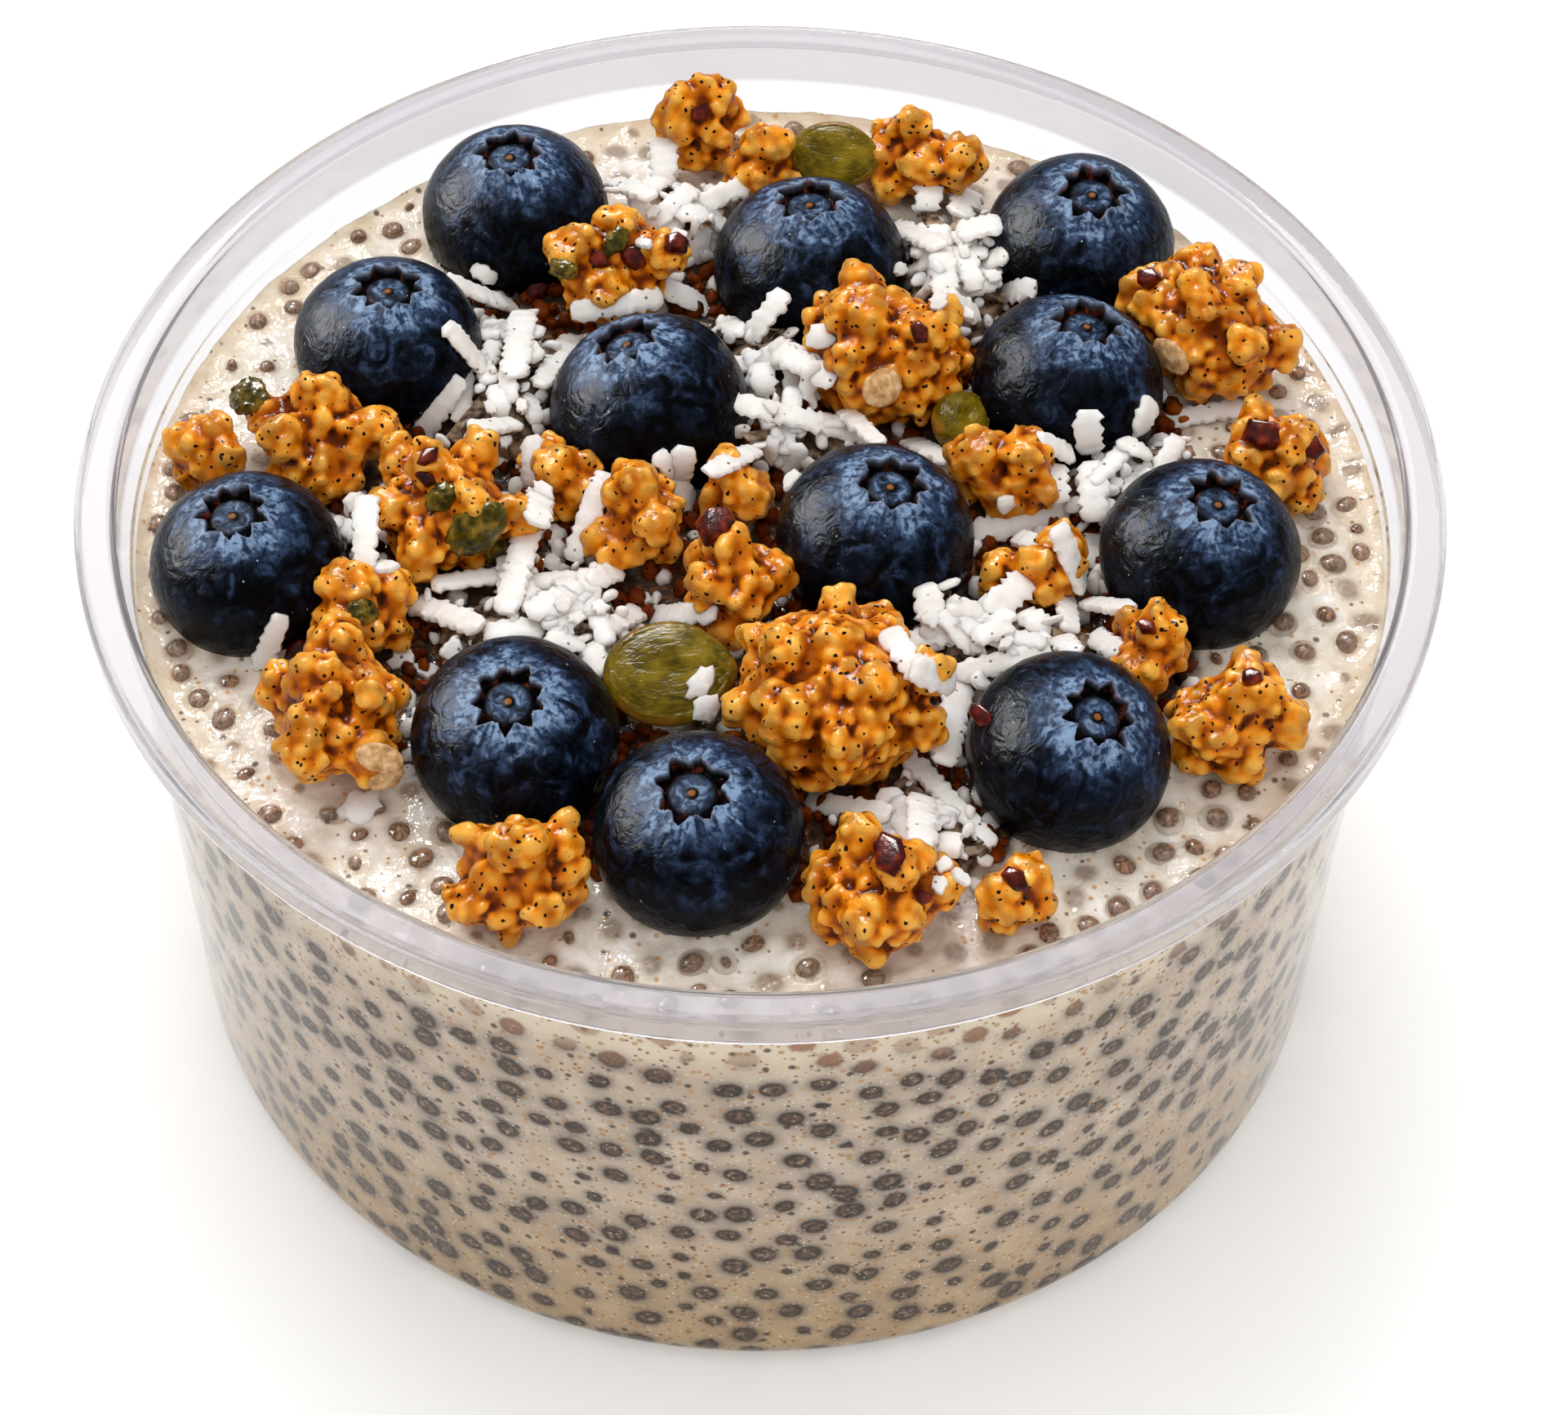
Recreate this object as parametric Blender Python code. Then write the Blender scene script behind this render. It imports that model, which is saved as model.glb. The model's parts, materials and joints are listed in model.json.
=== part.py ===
"""Chia pudding in a clear round tub, with blueberries, granola, coconut and pumpkin seeds on top.

The origin is the middle of the tub's base, +Z is up, and -Y is the side that faces the eater.
"""

import math
import random

import bmesh
import bpy
from mathutils import Euler, Matrix, Vector
from mathutils.bvhtree import BVHTree
from mathutils.geometry import delaunay_2d_cdt

MM = 0.001
TURN = 2 * math.pi

# The tub
SIDES = 48
TUB_HEIGHT = 59.0 * MM
RIM_RADIUS = 58.5 * MM
WALL = 0.6 * MM
BASE_WALL = 0.8 * MM
FLANGE = 0.7 * MM
SKIRT_DROP = 2.8 * MM
FOOT_RADIUS = 52.5 * MM
FOOT_CURVE = 4.0 * MM
MOUTH_RADIUS = 54.9 * MM
MOUTH_CURVE = 1.0 * MM
SEAT_RADIUS = 54.6 * MM
SEAT_HEIGHT = 53.0 * MM
SEAT_RISE = 1.7 * MM

# The pudding, and the gap that keeps neighbouring solids apart
LEVEL = 51.0 * MM
GAP = 0.3 * MM
DENT_GAP = 0.45 * MM
DENT_RINGS = ((0.0, 1), (0.48, 6), (0.8, 10), (1.0, 14))
RIPPLE = 0.4 * MM
RIPPLE_STEP = 9.0 * MM
CHIA_COUNT = 32
CHIA_SIZE = (1.05 * MM, 0.8 * MM, 0.6 * MM)
CHIA_SIDES = 6
CHIA_APART = 3.4 * MM

# The blueberries: flattened balls, each with a star-shaped crown round a sunken dish
BERRY_SIDES = 15
CROWN_TIPS = 5
BERRY_SQUASH = 0.9
BERRY_LATITUDES = (-58, -28, 2, 32)
CROWN_TIP = 0.40
CROWN_NOTCH = 0.31
CROWN_LIFT = 0.05
DISH_RADIUS = 0.24
DISH_DEPTH = 0.13
DISH_SAG = 0.05
BERRY_SPIN = TURN / 7

# Granola clusters: a core with rounder grains on its upper part, the widest place at a share of the height
CLUSTER_WAIST = 0.42
LARGE_CLUSTER = 8.0 * MM
CORE_SHARE = 0.92
GRAIN_RADIUS = (1.7 * MM, 2.8 * MM)
GRAIN_INSET = 0.55
GRAIN_AREA = 38.0 * MM * MM
GRAIN_FEWEST = 4
GRAIN_HEIGHTS = (-0.05, 0.96)
GRAIN_SWAY = 0.25
BERRY_GAP = 1.5 * GAP
WALL_SWINGS = (-20, 0, 20)

# Coconut: a low mound with shreds on it, each lifted or shortened until it is clear of its neighbours
MOUND_WAIST = 0.22
SHRED_WIDTH = 1.9 * MM
SHRED_THICKNESS = 0.8 * MM
SHRED_LOWEST = 0.55
SHRED_LIFTS = (0.0, 0.8 * MM, 1.6 * MM, 2.6 * MM)
SHRED_SHARES = (1.0, 0.85, 0.7, 0.55)

# Blueberries: x, y, height of the middle over the pudding, radius (mm),
# lean to the right and to the back (degrees)
BERRIES = (
    (-22.8, 37.4, 2.7, 8.6, -3, 0),
    (4.2, 30.7, 2.7, 8.8, -1, 5),
    (28.9, 34.0, 2.6, 8.7, 6, -6),
    (-33.4, 19.4, 3.3, 8.4, 3, 0),
    (-9.9, 11.6, 3.8, 8.8, -16, 9),
    (27.0, 15.0, 3.6, 8.6, 11, 4),
    (-43.6, -7.5, 3.6, 8.3, -6, -4),
    (9.8, -4.1, 4.1, 8.5, 9, -3),
    (37.5, -5.5, 3.9, 8.6, 8, -4),
    (-20.0, -27.0, 4.2, 8.6, -2, -14),
    (25.4, -28.0, 4.4, 8.5, 16, -14),
    (-4.8, -37.0, 4.5, 8.6, -4, -11),
)

# Granola clusters: x, y, half width, half depth, height (mm), turn (degrees)
GRANOLA = (
    (-5.4, 46.4, 4.6, 4.0, 9.6, 0),
    (-0.6, 42.4, 4.2, 3.4, 7.0, 0),
    (13.4, 43.6, 6.4, 4.4, 8.0, -15),
    (-14.2, 29.2, 7.6, 5.2, 9.0, -10),
    (10.2, 16.8, 8.8, 6.8, 11.6, -20),
    (38.8, 21.2, 8.6, 6.6, 10.4, -35),
    (-38.6, 6.8, 6.6, 5.6, 8.8, -20),
    (-48.2, 6.0, 4.2, 2.8, 5.5, -35),
    (-26.8, -2.4, 7.2, 6.6, 10.6, -15),
    (-17.0, 2.6, 4.0, 3.6, 7.0, 10),
    (-10.2, -2.4, 4.4, 4.0, 8.5, 0),
    (-2.4, 2.0, 3.4, 2.9, 6.5, 0),
    (-2.6, -9.8, 4.6, 5.4, 8.5, 0),
    (21.5, 3.6, 4.6, 4.0, 7.5, 0),
    (44.6, 5.4, 5.4, 4.2, 7.5, -15),
    (-33.6, -13.4, 5.2, 4.2, 7.5, 10),
    (-34.8, -25.0, 6.4, 7.2, 10.5, 0),
    (6.0, -23.4, 8.6, 8.8, 13.0, -25),
    (-18.8, -41.2, 6.6, 5.8, 9.4, 0),
    (9.6, -43.2, 6.0, 5.6, 9.5, 0),
    (20.6, -41.6, 2.8, 2.5, 5.0, 0),
    (32.4, -16.4, 3.7, 4.2, 8.0, 0),
    (38.8, -24.2, 5.6, 6.0, 9.0, -40),
    (23.2, -7.2, 4.2, 3.2, 6.0, 0),
)

# Pumpkin seeds: x, y, height of the middle over the pudding, half length, half width, half thickness (mm),
# tip towards the front and turn (degrees)
PUMPKIN_SEEDS = (
    (6.6, 43.2, 4.6, 4.2, 3.2, 1.5, 40, -8),
    (-7.4, -20.2, 4.4, 5.4, 4.6, 1.7, 22, 6),
    (17.4, 9.8, 4.0, 2.9, 2.6, 2.1, 30, 60),
)

# Coconut mounds: x, y, half width, half depth, height (mm), turn (degrees), and the shreds on each as
# x, y from the mound's middle, length (mm) and heading (degrees, 0 is to the right and 90 to the back)
COCONUT = (
    (-7.8, 37.4, 6.2, 5.4, 3.8, 0,
     ((-1.2, 2.0, 6.0, 92), (2.6, 1.6, 6.5, 28), (-3.4, 0.2, 5.5, 160), (2.0, -2.8, 6.0, 115),
      (-1.6, -2.6, 5.5, 40))),
    (16.6, 30.0, 6.2, 8.6, 4.0, 0,
     ((-1.6, 7.0, 6.0, 100), (1.8, 6.4, 5.5, 60), (2.6, 3.0, 7.0, 10), (-2.6, 2.6, 6.0, 150),
      (2.2, -2.2, 7.0, -20), (-1.0, -3.6, 6.0, 70), (0.4, 0.6, 7.0, 35))),
    (-22.6, 15.6, 5.6, 9.4, 4.0, 12,
     ((-3.0, 6.4, 6.5, -28), (-2.6, 1.6, 8.0, 120), (0.8, 4.6, 8.0, 84), (2.4, 1.4, 6.5, 62),
      (-2.6, -4.4, 8.0, 56), (0.8, -3.0, 6.0, 95), (-0.6, -6.6, 5.0, 10))),
    (0.6, 17.6, 5.0, 8.0, 4.0, -15,
     ((0.8, 5.6, 7.0, 68), (-2.2, 3.4, 6.0, -20), (1.2, 0.4, 8.0, -28), (-0.8, -4.0, 6.0, 10),
      (0.2, 2.6, 7.0, 30))),
    (3.4, 8.8, 6.6, 3.0, 3.6, 0,
     ((0.4, 0.8, 13.0, -7), (-3.4, -1.2, 6.0, 32), (3.0, -1.2, 5.0, 60), (-1.0, 1.2, 6.0, 100))),
    (31.0, 4.8, 5.8, 6.0, 4.0, 0,
     ((-1.8, 4.0, 6.5, 84), (2.4, 4.0, 6.5, 80), (3.8, 2.2, 7.0, 14), (-2.6, 1.0, 7.0, 150),
      (-1.4, -2.6, 7.5, 98), (0.6, 0.2, 6.0, 40))),
    (21.0, -15.6, 8.6, 4.6, 4.0, 4,
     ((-5.2, 1.4, 7.5, 98), (-3.2, 2.8, 6.0, -8), (0.8, 2.8, 7.5, 58), (2.0, -0.6, 9.0, 14),
      (-4.8, -1.2, 9.0, -28), (5.6, 1.0, 6.5, -4), (3.6, -2.0, 6.0, 60))),
    (-19.2, -13.4, 8.8, 4.8, 4.0, -4,
     ((-1.4, 3.4, 9.5, 82), (3.2, 3.0, 8.0, 74), (-5.2, 0.6, 9.0, -22), (0.2, -1.0, 9.0, 4),
      (5.0, -1.2, 7.0, 44), (-5.6, -2.6, 5.5, 60), (6.0, 1.8, 5.5, 110))),
    (-34.6, -1.6, 3.2, 5.4, 3.4, -12,
     ((0.2, 1.4, 8.0, 68), (-0.6, -3.0, 6.0, 20))),
    (14.2, -35.2, 5.0, 5.2, 3.4, 0,
     ((0.8, 1.8, 11.0, -48), (-4.2, 0.6, 8.0, -14), (-0.6, -1.4, 6.0, 80), (1.8, -2.2, 6.0, 20))),
)


def material(name, colour, roughness, metallic=0.0):
    made = bpy.data.materials.new(name)
    made.use_nodes = True
    shader = made.node_tree.nodes["Principled BSDF"]
    shader.inputs["Base Color"].default_value = (*colour, 1.0)
    shader.inputs["Roughness"].default_value = roughness
    shader.inputs["Metallic"].default_value = metallic
    made.diffuse_color = (*colour, 1.0)
    return made


def place(name, bm, finish, smooth_angle=35):
    """Makes an object of a closed bmesh, with its faces pointing out and its round parts shaded smooth."""
    bmesh.ops.recalc_face_normals(bm, faces=bm.faces)
    mesh = bpy.data.meshes.new(name)
    bm.to_mesh(mesh)
    bm.free()
    mesh.materials.append(finish)
    mesh.shade_smooth()
    mesh.set_sharp_from_angle(angle=math.radians(smooth_angle))
    made = bpy.data.objects.new(name, mesh)
    bpy.context.scene.collection.objects.link(made)
    return made


def arc(centre, radius, start, end, steps):
    """Points of an arc in the (radius, height) plane, its angles in degrees."""
    angles = [math.radians(start + (end - start) * i / steps) for i in range(steps + 1)]
    return [(centre[0] + radius * math.cos(a), centre[1] + radius * math.sin(a)) for a in angles]


def wall_outside():
    """The tub's outer side, from the middle of the base up to the underside of the flange."""
    foot = arc((FOOT_RADIUS - FOOT_CURVE, FOOT_CURVE), FOOT_CURVE, -90, 0, 2)
    neck = MOUTH_RADIUS + WALL
    under_flange = TUB_HEIGHT - FLANGE
    return [(0, 0), *foot, (SEAT_RADIUS, SEAT_HEIGHT), (neck, SEAT_HEIGHT + SEAT_RISE), (neck, under_flange)]


def wall_inside():
    """The tub's inner side, from the mouth down to the middle of the floor."""
    curve = FOOT_CURVE - WALL
    foot = arc((FOOT_RADIUS - FOOT_CURVE, BASE_WALL + curve), curve, 0, -90, 2)
    mouth = (MOUTH_RADIUS, SEAT_HEIGHT + SEAT_RISE + WALL / 2)
    seat = (SEAT_RADIUS - WALL, SEAT_HEIGHT + WALL / 2)
    return [mouth, seat, *foot, (0, BASE_WALL)]


def inner_radius(height):
    """The tub's inner radius at a height between its foot and the lid's seat."""
    low, high = FOOT_CURVE, SEAT_HEIGHT
    share = (height - low) / (high - low)
    return FOOT_RADIUS - WALL + share * (SEAT_RADIUS - FOOT_RADIUS)


def turned(profile):
    """A bmesh turned round Z from (radius, height) points that start and end on the axis."""
    bm = bmesh.new()
    points = [bm.verts.new((radius, 0, height)) for radius, height in profile]
    lines = [bm.edges.new(pair) for pair in zip(points, points[1:])]
    bmesh.ops.spin(bm, geom=points + lines, cent=(0, 0, 0), axis=(0, 0, 1), angle=TURN, steps=SIDES)
    bmesh.ops.remove_doubles(bm, verts=bm.verts, dist=0.01 * MM)
    return bm


def build_tub(finish):
    """One thin wall: base, side, lid seat, flat flange and the skirt that hangs from it."""
    skirt_inside = RIM_RADIUS - WALL
    skirt_end = TUB_HEIGHT - SKIRT_DROP
    skirt = [(skirt_inside, TUB_HEIGHT - FLANGE), (skirt_inside, skirt_end), (RIM_RADIUS, skirt_end)]
    outer_lip = arc((RIM_RADIUS - MOUTH_CURVE, TUB_HEIGHT - MOUTH_CURVE), MOUTH_CURVE, 0, 90, 2)
    inner_lip = arc((MOUTH_RADIUS + MOUTH_CURVE, TUB_HEIGHT - MOUTH_CURVE), MOUTH_CURVE, 90, 180, 2)
    place("tub", turned([*wall_outside(), *skirt, *outer_lip, *inner_lip, *wall_inside()]), finish)


class Berry:
    """Where a blueberry sits, and its size."""

    def __init__(self, x, y, rise, radius, lean_right, lean_back):
        self.middle = Vector((x * MM, y * MM, LEVEL + rise * MM))
        self.radius = radius * MM
        self.lean = (math.radians(-lean_back), math.radians(lean_right))

    def dent_points(self):
        """Points of the hollow that the berry presses into the pudding, kept clear of its underside."""
        across = self.radius + DENT_GAP
        down = self.radius * BERRY_SQUASH + DENT_GAP
        drop = (self.middle.z - LEVEL) / down
        shore = across * math.sqrt(1 - drop * drop)
        points = []
        for share, count in DENT_RINGS:
            radius = shore * share
            depth = down * math.sqrt(1 - (radius / across) ** 2)
            for i in range(count):
                angle = TURN * (i + 0.5 * share) / count
                x = self.middle.x + radius * math.cos(angle)
                y = self.middle.y + radius * math.sin(angle)
                points.append((x, y, self.middle.z - depth))
        return points, shore


def berry_bmesh():
    """A blueberry of radius 1 round the origin, its crown up."""
    bm = bmesh.new()

    def surface(radius):
        return BERRY_SQUASH * math.sqrt(1 - radius * radius)

    def ring(radius_height):
        made = []
        for i in range(BERRY_SIDES):
            radius, height = radius_height(i)
            angle = TURN * i / BERRY_SIDES
            made.append(bm.verts.new((radius * math.cos(angle), radius * math.sin(angle), height)))
        return made

    def body(latitude):
        a = math.radians(latitude)
        return lambda i: (math.cos(a), BERRY_SQUASH * math.sin(a))

    def crown(i):
        tip = i % (BERRY_SIDES // CROWN_TIPS) == 0
        radius = CROWN_TIP if tip else CROWN_NOTCH
        return radius, surface(radius) + (CROWN_LIFT if tip else 0)

    def dish(i):
        return DISH_RADIUS, surface(DISH_RADIUS) - DISH_DEPTH

    rings = [ring(body(latitude)) for latitude in BERRY_LATITUDES] + [ring(crown), ring(dish)]
    bottom = bm.verts.new((0, 0, -BERRY_SQUASH))
    floor = bm.verts.new((0, 0, BERRY_SQUASH - DISH_DEPTH - DISH_SAG))
    for i in range(BERRY_SIDES):
        after = (i + 1) % BERRY_SIDES
        bm.faces.new((bottom, rings[0][after], rings[0][i]))
        bm.faces.new((floor, rings[-1][i], rings[-1][after]))
        for low, high in zip(rings, rings[1:]):
            bm.faces.new((low[i], low[after], high[after], high[i]))
    return bm


def build_berries(berries, finish):
    """Twelve berries that share one mesh, each with its own size, turn and lean."""
    first = place("blueberry_01", berry_bmesh(), finish, 65)
    for number, berry in enumerate(berries):
        made = first if number == 0 else bpy.data.objects.new(f"blueberry_{number + 1:02d}", first.data)
        if number:
            bpy.context.scene.collection.objects.link(made)
        spin = Matrix.Rotation(BERRY_SPIN * number, 3, "Z")
        made.location = berry.middle
        made.rotation_euler = (Euler((*berry.lean, 0)).to_matrix() @ spin).to_euler()
        made.scale = (berry.radius,) * 3


def chia_points(shores, heaps, rim, draw):
    """Low bumps for the chia seeds that show on the bare pudding, apart from each other and the toppings."""
    long, wide, high = CHIA_SIZE
    clear = long + GAP
    edge = rim - 2 * long
    spots = []
    points = []
    while len(spots) < CHIA_COUNT:
        spot = Vector((draw.uniform(-edge, edge), draw.uniform(-edge, edge), LEVEL))
        blocked = spot.xy.length > edge
        blocked |= any((spot.xy - middle.xy).length < radius + clear for middle, radius in shores)
        blocked |= any(heap.covers(spot, clear) for heap in heaps)
        blocked |= any((spot - other).length < CHIA_APART for other in spots)
        if blocked:
            continue
        spots.append(spot)
        points.append((spot.x, spot.y, LEVEL + high))
        turn = Matrix.Rotation(draw.uniform(0, TURN), 3, "Z")
        for i in range(CHIA_SIDES):
            a = TURN * i / CHIA_SIDES
            points.append(tuple(spot + turn @ Vector((long * math.cos(a), wide * math.sin(a), 0))))
    return points


def ripple_points(shores, rim, points, draw):
    """Points spread over the bare pudding, a little low, and clear of the points that are there."""
    steps = int(rim / RIPPLE_STEP)
    found = []
    for i in range(-steps, steps + 1):
        for j in range(-steps, steps + 1):
            spot = Vector((i * RIPPLE_STEP, (j + 0.5 * (i % 2)) * RIPPLE_STEP))
            bare = spot.length < rim - RIPPLE_STEP / 3
            bare &= all((spot - middle.xy).length > radius for middle, radius in shores)
            bare &= all((spot - Vector(point[:2])).length > RIPPLE_STEP / 4 for point in points)
            if bare:
                found.append((spot.x, spot.y, LEVEL - draw.uniform(0, RIPPLE)))
    return found


def build_pudding(berries, heaps, finish):
    """The pudding fills the tub up to its level, with a hollow for each berry and a bump for each seed."""
    draw = random.Random(11)
    rim = inner_radius(LEVEL) - GAP
    corners = [TURN * i / SIDES for i in range(SIDES)]
    points = [(rim * math.cos(a), rim * math.sin(a), LEVEL) for a in corners]
    shores = []
    for berry in berries:
        dent, shore = berry.dent_points()
        points += dent
        shores.append((berry.middle, shore))
    points += chia_points(shores, heaps, rim, draw)
    points += ripple_points(shores, rim, points, draw)
    flat = [Vector((x / MM, y / MM)) for x, y, _ in points]
    _, _, faces, sources, _, _ = delaunay_2d_cdt(flat, [], [], 0, 1e-6)
    bm = bmesh.new()
    top = [bm.verts.new(points[source[0]]) for source in sources]
    for face in faces:
        bm.faces.new([top[i] for i in face])
    where = {source[0]: top[i] for i, source in enumerate(sources)}
    upper = [where[i] for i in range(SIDES)]
    for radius, height in [(r - GAP, z + GAP) for r, z in wall_inside()[2:-1]]:
        lower = [bm.verts.new((radius * math.cos(a), radius * math.sin(a), height)) for a in corners]
        for i in range(SIDES):
            after = (i + 1) % SIDES
            bm.faces.new((upper[i], lower[i], lower[after], upper[after]))
        upper = lower
    bm.faces.new(upper)
    place("pudding", bm, finish)


class Heap:
    """A topping's core: a lump round its middle, cut back by planes and berries to clear what is near."""

    def __init__(self, x, y, rise, half, turn, tip=0):
        foot = LEVEL + GAP
        self.middle = Vector((x * MM, y * MM, foot + rise * MM))
        self.half = Vector(half) * MM
        self.turn = Euler((math.radians(tip), 0, math.radians(turn))).to_matrix()
        self.planes = [(Vector((0, 0, -1)), -foot)]
        self.balls = []

    @classmethod
    def standing(cls, x, y, half_width, half_depth, height, turn, sunk_share):
        """A lump of a given height, whose widest part is at a share of that height."""
        rise = sunk_share * height
        return cls(x, y, rise, (half_width, half_depth, height - rise), turn)

    def reach(self, direction):
        """How far the whole lump reaches from its middle in a direction."""
        local = self.turn.transposed() @ direction
        return math.sqrt(sum((a * b) ** 2 for a, b in zip(local, self.half)))

    def covers(self, spot, clear):
        """True if the lump, grown by clear, stands over a spot."""
        local = self.turn.transposed() @ (spot - self.middle)
        return (local.x / (self.half.x + clear)) ** 2 + (local.y / (self.half.y + clear)) ** 2 < 1

    def keep_from_wall(self):
        """Adds planes that stand for the curved wall near the lump."""
        bearing = math.atan2(self.middle.y, self.middle.x)
        for swing in WALL_SWINGS:
            a = bearing + math.radians(swing)
            outward = Vector((math.cos(a), math.sin(a), 0))
            self.planes.append((outward, inner_radius(LEVEL) - 2 * GAP))

    def keep_from_berry(self, berry):
        """Adds a ball for a berry that is near the lump."""
        if (berry.middle - self.middle).length < berry.radius + 2 * max(self.half):
            self.balls.append((berry.middle, berry.radius + BERRY_GAP))

    def keep_from_heap(self, other):
        """Adds a plane between two lumps, at the share of the way that their sizes give."""
        to_other = other.middle - self.middle
        direction = to_other.normalized()
        mine, theirs = self.reach(direction), other.reach(-direction)
        share = mine / (mine + theirs)
        self.planes.append((direction, direction.dot(self.middle) + share * to_other.length - GAP / 2))

    def room(self, point):
        """How far a point is from the nearest plane or berry, below 0 if it is past one."""
        to_planes = [limit - normal.dot(point) for normal, limit in self.planes]
        to_balls = [(point - middle).length - radius for middle, radius in self.balls]
        return min(to_planes + to_balls)

    def cut_back(self, offset):
        """The share of an offset from the middle that stays inside every plane and outside every berry."""
        share = 1.0
        for normal, limit in self.planes:
            along = normal.dot(offset)
            if along > 0:
                share = min(share, (limit - normal.dot(self.middle)) / along)
        for middle, radius in self.balls:
            apart = middle - self.middle
            along = offset.dot(apart) / offset.length_squared
            nearest = (offset * along - apart).length
            if along > 0 and nearest < radius:
                share = min(share, along - math.sqrt(radius ** 2 - nearest ** 2) / offset.length)
        return share

    def surface(self, direction, size=1.0):
        """Where the core's surface is in a direction, given in the lump's own turn and before its squash."""
        offset = self.turn @ Vector([a * b * size for a, b in zip(direction, self.half)])
        return self.middle + offset * self.cut_back(offset)

    def core(self, detail, size=1.0):
        bm = bmesh.new()
        bmesh.ops.create_icosphere(bm, subdivisions=detail, radius=1)
        for vert in bm.verts:
            vert.co = self.surface(vert.co, size)
        return bm


def spread_directions(count, draw):
    """Directions spread evenly over the upper part of a ball, each a little off its place."""
    golden = math.pi * (3 - math.sqrt(5))
    start = draw.uniform(0, TURN)
    low, high = GRAIN_HEIGHTS
    for i in range(count):
        z = high - (high - low) * i / (count - 1)
        around = start + golden * i + draw.uniform(-GRAIN_SWAY, GRAIN_SWAY)
        flat = math.sqrt(1 - z * z)
        yield Vector((flat * math.cos(around), flat * math.sin(around), z))


def largest_body(mesh):
    """Drops every loose scrap of a mesh, so that one closed body is left."""
    bm = bmesh.new()
    bm.from_mesh(mesh)
    unseen = set(bm.faces)
    bodies = []
    while unseen:
        body, front = set(), [unseen.pop()]
        while front:
            face = front.pop()
            body.add(face)
            for edge in face.edges:
                found = [other for other in edge.link_faces if other in unseen]
                unseen.difference_update(found)
                front += found
        bodies.append(body)
    bodies.sort(key=len)
    scraps = [face for body in bodies[:-1] for face in body]
    bmesh.ops.delete(bm, geom=scraps, context="FACES")
    bm.to_mesh(mesh)
    bm.free()
    return mesh


def join(core, pieces):
    """Fuses pieces with a core by one Boolean union on their collection, applied, and removes them."""
    group = bpy.data.collections.new("pieces")
    bpy.context.scene.collection.children.link(group)
    for piece in pieces:
        group.objects.link(piece)
        bpy.context.scene.collection.objects.unlink(piece)
    union = core.modifiers.new("join", "BOOLEAN")
    union.operation = "UNION"
    union.operand_type = "COLLECTION"
    union.collection = group
    union.solver = "EXACT"
    bpy.context.view_layer.update()
    evaluated = core.evaluated_get(bpy.context.evaluated_depsgraph_get())
    joined = bpy.data.meshes.new_from_object(evaluated)
    core.modifiers.remove(union)
    core.data = largest_body(joined)
    for piece in pieces:
        bpy.data.objects.remove(piece)
    bpy.data.collections.remove(group)


def grain(number, centre, radius, draw, finish):
    """One round grain with few sides, turned at random."""
    bm = bmesh.new()
    turn = Euler([draw.uniform(0, TURN) for _ in range(3)]).to_matrix().to_4x4()
    where = Matrix.Translation(centre) @ turn
    bmesh.ops.create_icosphere(bm, subdivisions=1, radius=radius, matrix=where)
    return place(f"grain_{number}", bm, finish)


def build_granola(name, heap, finish, draw):
    """A cluster: its core, with grains fused on wherever they fit between the neighbours."""
    detail = 2 if max(heap.half) > LARGE_CLUSTER else 1
    core = place(name, heap.core(detail, CORE_SHARE), finish)
    a, b, c = heap.half
    area = TURN * (a * b + a * c + b * c) / 3
    grains = []
    for direction in spread_directions(max(GRAIN_FEWEST, round(area / GRAIN_AREA)), draw):
        radius = draw.uniform(*GRAIN_RADIUS)
        spot = heap.surface(direction)
        inward = (heap.middle - spot).normalized()
        spot += inward * radius * GRAIN_INSET
        spot += inward * max(0.0, 1.3 * (radius - heap.room(spot)))
        if heap.room(spot) > radius:
            grains.append(grain(len(grains), spot, radius, draw, finish))
    join(core, grains)


def strip(corners):
    """The convex bmesh round a strip's eight corners."""
    bm = bmesh.new()
    bmesh.ops.convex_hull(bm, input=[bm.verts.new(corner) for corner in corners])
    return bm


def shred_corners(heap, row, share, lift, grown=0.0):
    """The corners of a strip that lies on a mound, its outer end lifted, and its sides grown by a margin."""
    x, y, length, heading = row
    middle = Vector((x, y, 0)) * MM
    along = Vector((math.cos(math.radians(heading)), math.sin(math.radians(heading)), 0))
    outward = 1 if along.dot(middle) > 0 else -1
    side = Vector((-along.y, along.x, 0)) * (SHRED_WIDTH / 2 + grown)
    up = Vector((0, 0, SHRED_THICKNESS / 2 + grown))
    corners = []
    for sign in (-1, 1):
        flat = middle + along * sign * (length * MM * share / 2 + grown)
        local = heap.turn.transposed() @ flat
        inside = 1 - (local.x / heap.half.x) ** 2 - (local.y / heap.half.y) ** 2
        rise = heap.half.z * max(SHRED_LOWEST, math.sqrt(max(0.0, inside)))
        if sign == outward:
            rise += lift
        end = heap.middle + flat + Vector((0, 0, rise))
        corners += [end + side * s + up * h for s in (-1, 1) for h in (-1, 1)]
    return corners


def shred(number, heap, row, neighbours, finish):
    """A strip of coconut fitted clear of its neighbours: lifted, shortened, or None where it can't be."""
    for share in SHRED_SHARES:
        for lift in SHRED_LIFTS:
            grown = strip(shred_corners(heap, row, share, lift, GAP))
            tree = BVHTree.FromBMesh(grown)
            grown.free()
            if not any(tree.overlap(other) for other in neighbours):
                return place(f"shred_{number}", strip(shred_corners(heap, row, share, lift)), finish)
    return None


def build_coconut(name, heap, rows, neighbours, finish):
    """A mound with its largest shreds fused on."""
    core = place(name, heap.core(2), finish)
    strips = [shred(i, heap, row, neighbours, finish) for i, row in enumerate(rows)]
    join(core, [made for made in strips if made])


def surface_tree(made):
    """A search tree of an object's faces where they are in the tub."""
    corners = [made.matrix_basis @ vert.co for vert in made.data.vertices]
    return BVHTree.FromPolygons(corners, [face.vertices[:] for face in made.data.polygons])


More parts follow.
